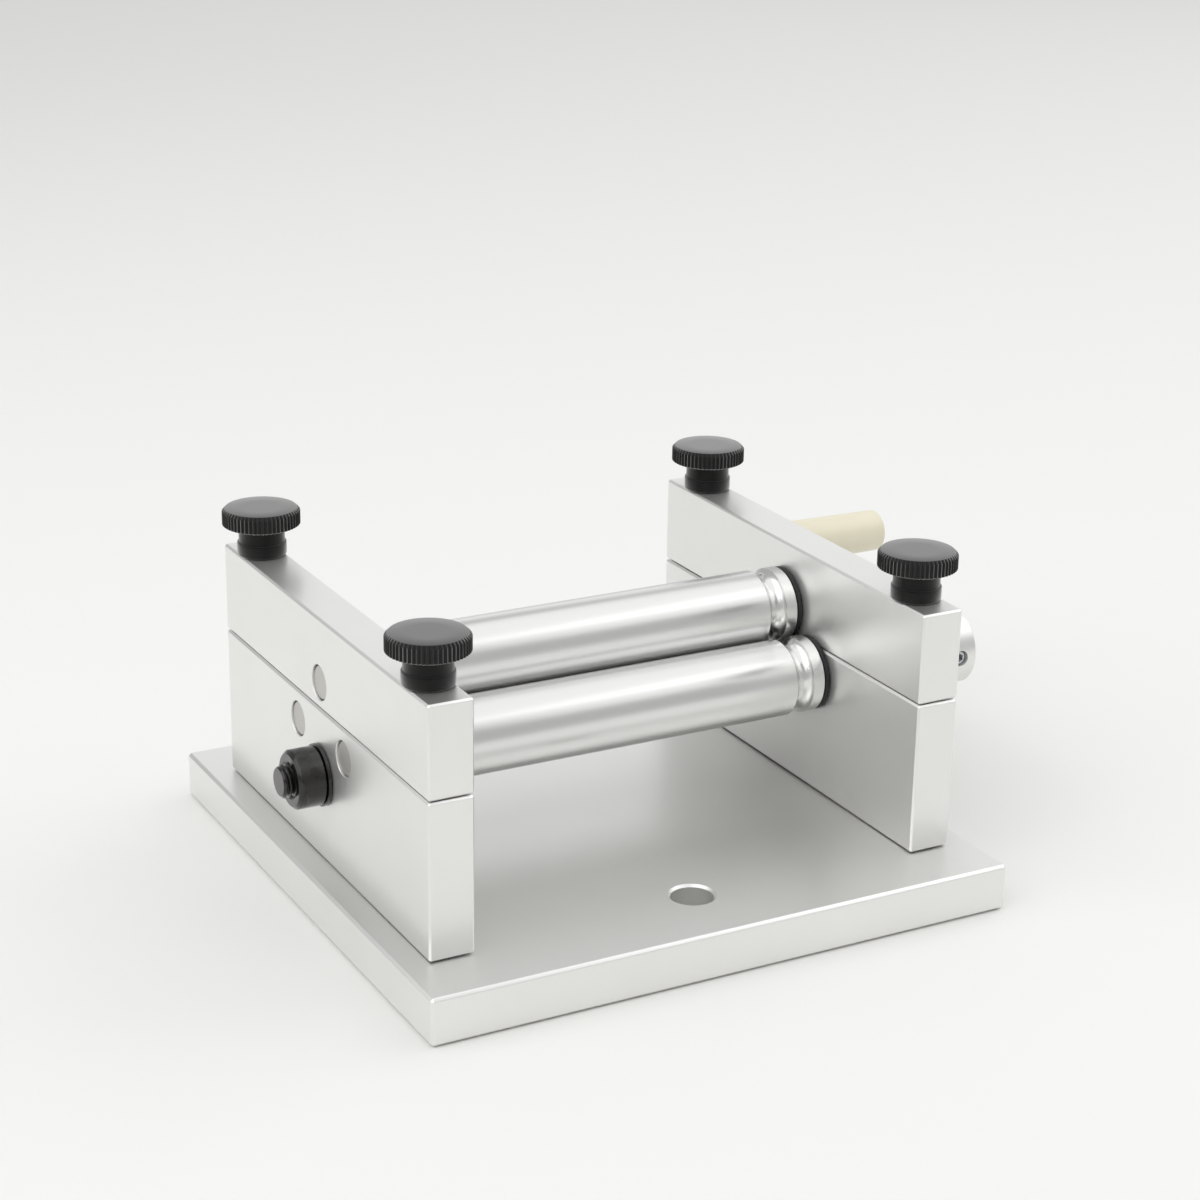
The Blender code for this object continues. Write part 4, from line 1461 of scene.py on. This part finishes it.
    def coil_height(self, low: float, high: float, wound: float) -> float:
        """Work out how high the wire's middle is along the coil, whose end turns are closed.

        Args:
            low: The spring's lower end.
            high: Its upper end.
            wound: How many turns the wire has gone round.

        Returns:
            The height.
        """
        closed_pitch = self.wire_diameter * self.closed_pitch_share
        ground = self.wire_diameter * self.ground_share
        open_rise = high - low - 2 * ground - self.closed_turns * closed_pitch
        start = min(wound, 1) * closed_pitch
        middle = min(max(wound - 1, 0), self.coil_turns) / self.coil_turns * open_rise
        end = max(wound - 1 - self.coil_turns, 0) * closed_pitch
        return low + ground + start + middle + end

    def fit_spring(self, spring: Piece, node: str) -> None:
        """Dress a spring in place of its node, and move its place into its mesh.

        Args:
            spring: The spring.
            node: Its node.
        """
        self.shop.dress(spring, node, SPRING)
        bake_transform(spring)


@dataclass
class Crank:
    """The crank: arm, set screw, spindle and the grip that turns on it."""

    shop: Workshop
    arm_chamfer: float = 0.6 * MM
    arm_edge_angle: float = math.radians(60)
    bore_chamfer: float = 0.2 * MM
    arm_end_steps: int = 64
    shaft_bore: float = 4.3 * MM
    spindle_bore: float = 2.8 * MM
    set_screw_bore: float = 2.06 * MM
    set_screw_lip: float = 0.12 * MM
    set_screw_chamfer: float = 0.5 * MM
    set_screw_socket: float = 2.0 * MM
    set_screw_socket_depth: float = 2.0 * MM
    spindle_radius: float = 3.0 * MM
    spindle_edge: float = 0.1 * MM
    spindle_head_radius: float = 4.25 * MM
    spindle_head_height: float = 3.0 * MM
    spindle_head_rounding: float = 0.4 * MM
    spindle_thread_radius: float = 2.5 * MM
    spindle_chamfer: float = 0.5 * MM
    spindle_socket: float = 3.0 * MM
    seat_gap: float = 0.3 * MM
    grip_root_radius: float = 6.35 * MM
    grip_end_radius: float = 5.8 * MM
    grip_rounding: float = 0.9 * MM
    grip_bore: float = 3.3 * MM
    grip_recess: float = 4.55 * MM
    grip_edges: tuple[float, float, float] = (0.1 * MM, 0.2 * MM, 0.3 * MM)

    def build(self) -> None:
        """Make the arm, the screws and the grip."""
        self.build_arm()
        self.build_set_screw()
        self.build_spindle()
        self.build_grip()

    def build_arm(self) -> None:
        """Make the flat arm with round ends, chamfered edges and its three holes."""
        low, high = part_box("crank_arm")
        shaft, handle = middle_of("front_roller"), middle_of("handle_spindle")
        arm = add_primitive(
            "milled_crank_arm",
            bpy.ops.mesh.primitive_cylinder_add,
            vertices=2 * self.arm_end_steps,
            radius=(high.z - low.z) / 2,
            depth=high.x - low.x,
            location=((low.x + high.x) / 2, shaft.y, shaft.z),
            rotation=Axis.X.turn_from_z,
            end_fill_type="NGON",
        )
        with editing(arm):
            pick_vertices(arm, lambda place: place.y > shaft.y + NEAR)
            bpy.ops.transform.translate(value=(0, handle.y - shaft.y, 0))
        bevel = arm.modifiers.new("chamfer", "BEVEL")
        bevel.width = self.arm_chamfer
        bevel.segments = 1
        bevel.limit_method = "ANGLE"
        bevel.angle_limit = self.arm_edge_angle
        apply_modifier(arm, bevel)
        drill(arm, "crank_arm", shaft, Axis.X, self.shaft_bore, self.bore_chamfer)
        level_handle = Axis.Z.slide(handle, shaft)
        drill(arm, "crank_arm", level_handle, Axis.X, self.spindle_bore, self.bore_chamfer)
        reach = shaft.y - low.y
        profile = [
            (0, -CUTTER_OVERRUN),
            (self.set_screw_bore + self.set_screw_lip + CUTTER_OVERRUN, -CUTTER_OVERRUN),
            (self.set_screw_bore, self.set_screw_lip),
            (self.set_screw_bore, reach),
            (0, reach),
        ]
        front = Vector(((low.x + high.x) / 2, low.y, shaft.z))
        cut(arm, turn("set_screw_hole", profile, front, Axis.Y))
        shade(arm, FLAT_ANGLE)
        self.shop.fit(arm, "crank_arm", "front_drive", ALUMINIUM)

    def build_set_screw(self) -> None:
        """Make the grub screw that bears on the shaft's flat."""
        low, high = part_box("crank_set_screw")
        mouth = Axis.Y.slide(middle_of("crank_set_screw"), low)
        radius, length = (high.x - low.x) / 2, high.y - low.y
        chamfer = self.set_screw_chamfer
        profile = [
            (0, 0),
            (radius - chamfer, 0),
            (radius, chamfer),
            (radius, length - chamfer),
            (radius - chamfer, length),
            (0, length),
        ]
        screw = turn("cut_crank_set_screw", profile, mouth, Axis.Y)
        cut_socket(screw, self.set_screw_socket, self.set_screw_socket_depth, mouth, Axis.Y)
        shade(screw, SMOOTH_ANGLE)
        self.shop.fit(screw, "crank_set_screw", "front_drive", ZINC)

    def build_spindle(self) -> None:
        """Make the shoulder screw that the grip turns on."""
        low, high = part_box("handle_spindle")
        mouth = Axis.X.slide(middle_of("handle_spindle"), high)
        length = high.x - low.x
        shoulder = high.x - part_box("crank_arm")[1].x - self.seat_gap
        edge, head_height = self.spindle_edge, self.spindle_head_height
        corners = [
            (0, 0, 0),
            (self.spindle_head_radius, 0, self.spindle_head_rounding),
            (self.spindle_head_radius, -head_height, edge),
            (self.spindle_radius, -head_height, edge),
            (self.spindle_radius, -shoulder, edge),
            (self.spindle_thread_radius, -shoulder, edge),
            (self.spindle_thread_radius, self.spindle_chamfer - length, 0),
            (self.spindle_thread_radius - self.spindle_chamfer, -length, 0),
            (0, -length, 0),
        ]
        spindle = turn("turned_handle_spindle", rounded(corners), mouth, Axis.X)
        cut_socket(spindle, self.spindle_socket, head_height / 2, mouth, Axis.X, -1)
        shade(spindle, SMOOTH_ANGLE)
        self.shop.fit(spindle, "handle_spindle", "front_drive", ZINC)

    def build_grip(self) -> None:
        """Make the tapered grip with rounded rims and a recess for the spindle's head."""
        low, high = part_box("crank_grip")
        length = high.x - low.x
        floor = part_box("handle_spindle")[1].x - self.spindle_head_height - self.seat_gap - low.x
        fine, middling, coarse = self.grip_edges
        corners = [
            (self.grip_bore, 0, coarse),
            (self.grip_root_radius, 0, self.grip_rounding),
            (self.grip_end_radius, length, self.grip_rounding),
            (self.grip_recess, length, middling),
            (self.grip_recess, floor, fine),
            (self.grip_bore, floor, fine),
        ]
        foot = Axis.X.slide(middle_of("crank_grip"), low)
        grip = turn_ring("moulded_crank_grip", corners, length, foot, steps=8)
        self.shop.fit(grip, "crank_grip", "grip", CREAM)


@dataclass(frozen=True)
class Panel:
    """A flat soft light that faces the machine, placed by its direction in degrees."""

    name: str
    azimuth: float
    elevation: float
    distance: float
    width: float
    height: float
    brightness: float

    def hang(self, target: Vector) -> None:
        """Hang the panel at its place.

        Args:
            target: The point that it faces.
        """
        azimuth, elevation = math.radians(self.azimuth), math.radians(self.elevation)
        level = math.cos(elevation)
        toward = Vector((math.cos(azimuth) * level, math.sin(azimuth) * level, math.sin(elevation)))
        data = bpy.data.lights.new(self.name, "AREA")
        data.shape = "RECTANGLE"
        data.size = self.width
        data.size_y = self.height
        data.energy = math.pi * self.width * self.height * self.brightness
        light = bpy.data.objects.new(self.name, data)
        light.location = target + toward * self.distance
        light.rotation_euler = toward.to_track_quat("Z", "Y").to_euler()
        bpy.context.collection.objects.link(light)


# Soft panels all round, the brightest at the sides. With the world they light a level surface by 1,
# so that a colour renders about as it is written.
PANELS = (
    Panel("overhead_softbox", 0, 90, 1.15, 1.5, 1.5, 0.61),
    Panel("front_right_panel", 312, 46, 1.8, 1.3, 0.9, 0.62),
    Panel("front_left_panel", 225, 42, 1.8, 1.3, 1.0, 0.86),
    Panel("left_panel", 180, 38, 1.8, 1.8, 1.5, 1.2),
    Panel("right_panel", 0, 35, 2.0, 1.8, 1.4, 1.2),
    Panel("rear_panel", 60, 21, 2.2, 2.4, 1.0, 0.51),
)


@dataclass
class Studio:
    """The camera, the floor and the soft light round the machine."""

    azimuth: float = math.radians(-28.517)
    elevation: float = math.radians(19.596)
    roll: float = math.radians(0.891)
    distance: float = 0.65678
    shift_right: float = 0.005182
    shift_up: float = 0.061891
    focal_pixels: float = 2636.27
    picture_pixels: float = 1200.0
    sensor: float = 36.0
    nearest: float = 0.01
    floor_colour: str = "#F0F0EE"
    floor_roughness: float = 0.8
    floor_specular: float = 0.2
    floor_size: float = 12.0
    floor_drop: float = 0.0002
    world_colour: str = "#B6B6B6"
    light_target: Vector = field(default_factory=lambda: Vector((0, 0, 0.03)))

    def build(self) -> None:
        """Set up the camera, the floor and the lights."""
        self.build_camera()
        self.build_floor()
        self.build_lights()
        bpy.context.scene.view_settings.view_transform = "Standard"

    def build_camera(self) -> None:
        """Place the camera at the photograph's viewing angle, distance and framing."""
        across, level = math.sin(self.azimuth), math.cos(self.elevation)
        back = Vector((across * level, -math.cos(self.azimuth) * level, math.sin(self.elevation)))
        right = Vector((math.cos(self.azimuth), across, 0))
        up = back.cross(right)
        rolled_right = right * math.cos(self.roll) + up * math.sin(self.roll)
        rolled_up = up * math.cos(self.roll) - right * math.sin(self.roll)
        place = back * self.distance + rolled_right * self.shift_right + rolled_up * self.shift_up
        turned = Matrix((rolled_right, rolled_up, back)).transposed()
        data = bpy.data.cameras.new("photo_camera")
        data.sensor_fit = "HORIZONTAL"
        data.sensor_width = self.sensor
        data.lens = self.focal_pixels / self.picture_pixels * self.sensor
        data.clip_start = self.nearest
        camera = bpy.data.objects.new("photo_camera", data)
        camera.matrix_world = Matrix.Translation(place) @ turned.to_4x4()
        bpy.context.collection.objects.link(camera)
        bpy.context.scene.camera = camera

    def build_floor(self) -> None:
        """Lay the plain pale floor just under the base plate."""
        location = (0, 0, -self.floor_drop)
        plane = bpy.ops.mesh.primitive_plane_add
        floor = add_primitive("floor", plane, size=self.floor_size, location=location)
        material = bpy.data.materials.new("painted_floor")
        material.use_nodes = True
        shader = material.node_tree.nodes["Principled BSDF"]
        shader.inputs["Base Color"].default_value = linear(self.floor_colour)
        shader.inputs["Roughness"].default_value = self.floor_roughness
        shader.inputs["Specular IOR Level"].default_value = self.floor_specular
        floor.data.materials.append(material)

    def build_lights(self) -> None:
        """Hang the soft panels in a plain grey surrounding."""
        world = bpy.data.worlds.new("studio")
        world.use_nodes = True
        background = world.node_tree.nodes["Background"]
        background.inputs["Color"].default_value = linear(self.world_colour)
        background.inputs["Strength"].default_value = 1.0
        bpy.context.scene.world = world
        for panel in PANELS:
            panel.hang(self.light_target)


def main() -> None:
    """Load the frame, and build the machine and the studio."""
    logging.basicConfig(level=logging.INFO, format="%(name)s: %(message)s")
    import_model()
    Studio().build()
    shop = Workshop()
    for sub_assembly in (BasePlate, SideBlocks, PressureBars, Rollers, ThumbScrews, Crank):
        sub_assembly(shop).build()
        LOG.info("%s is built", sub_assembly.__name__)


if __name__ == "__main__":
    main()
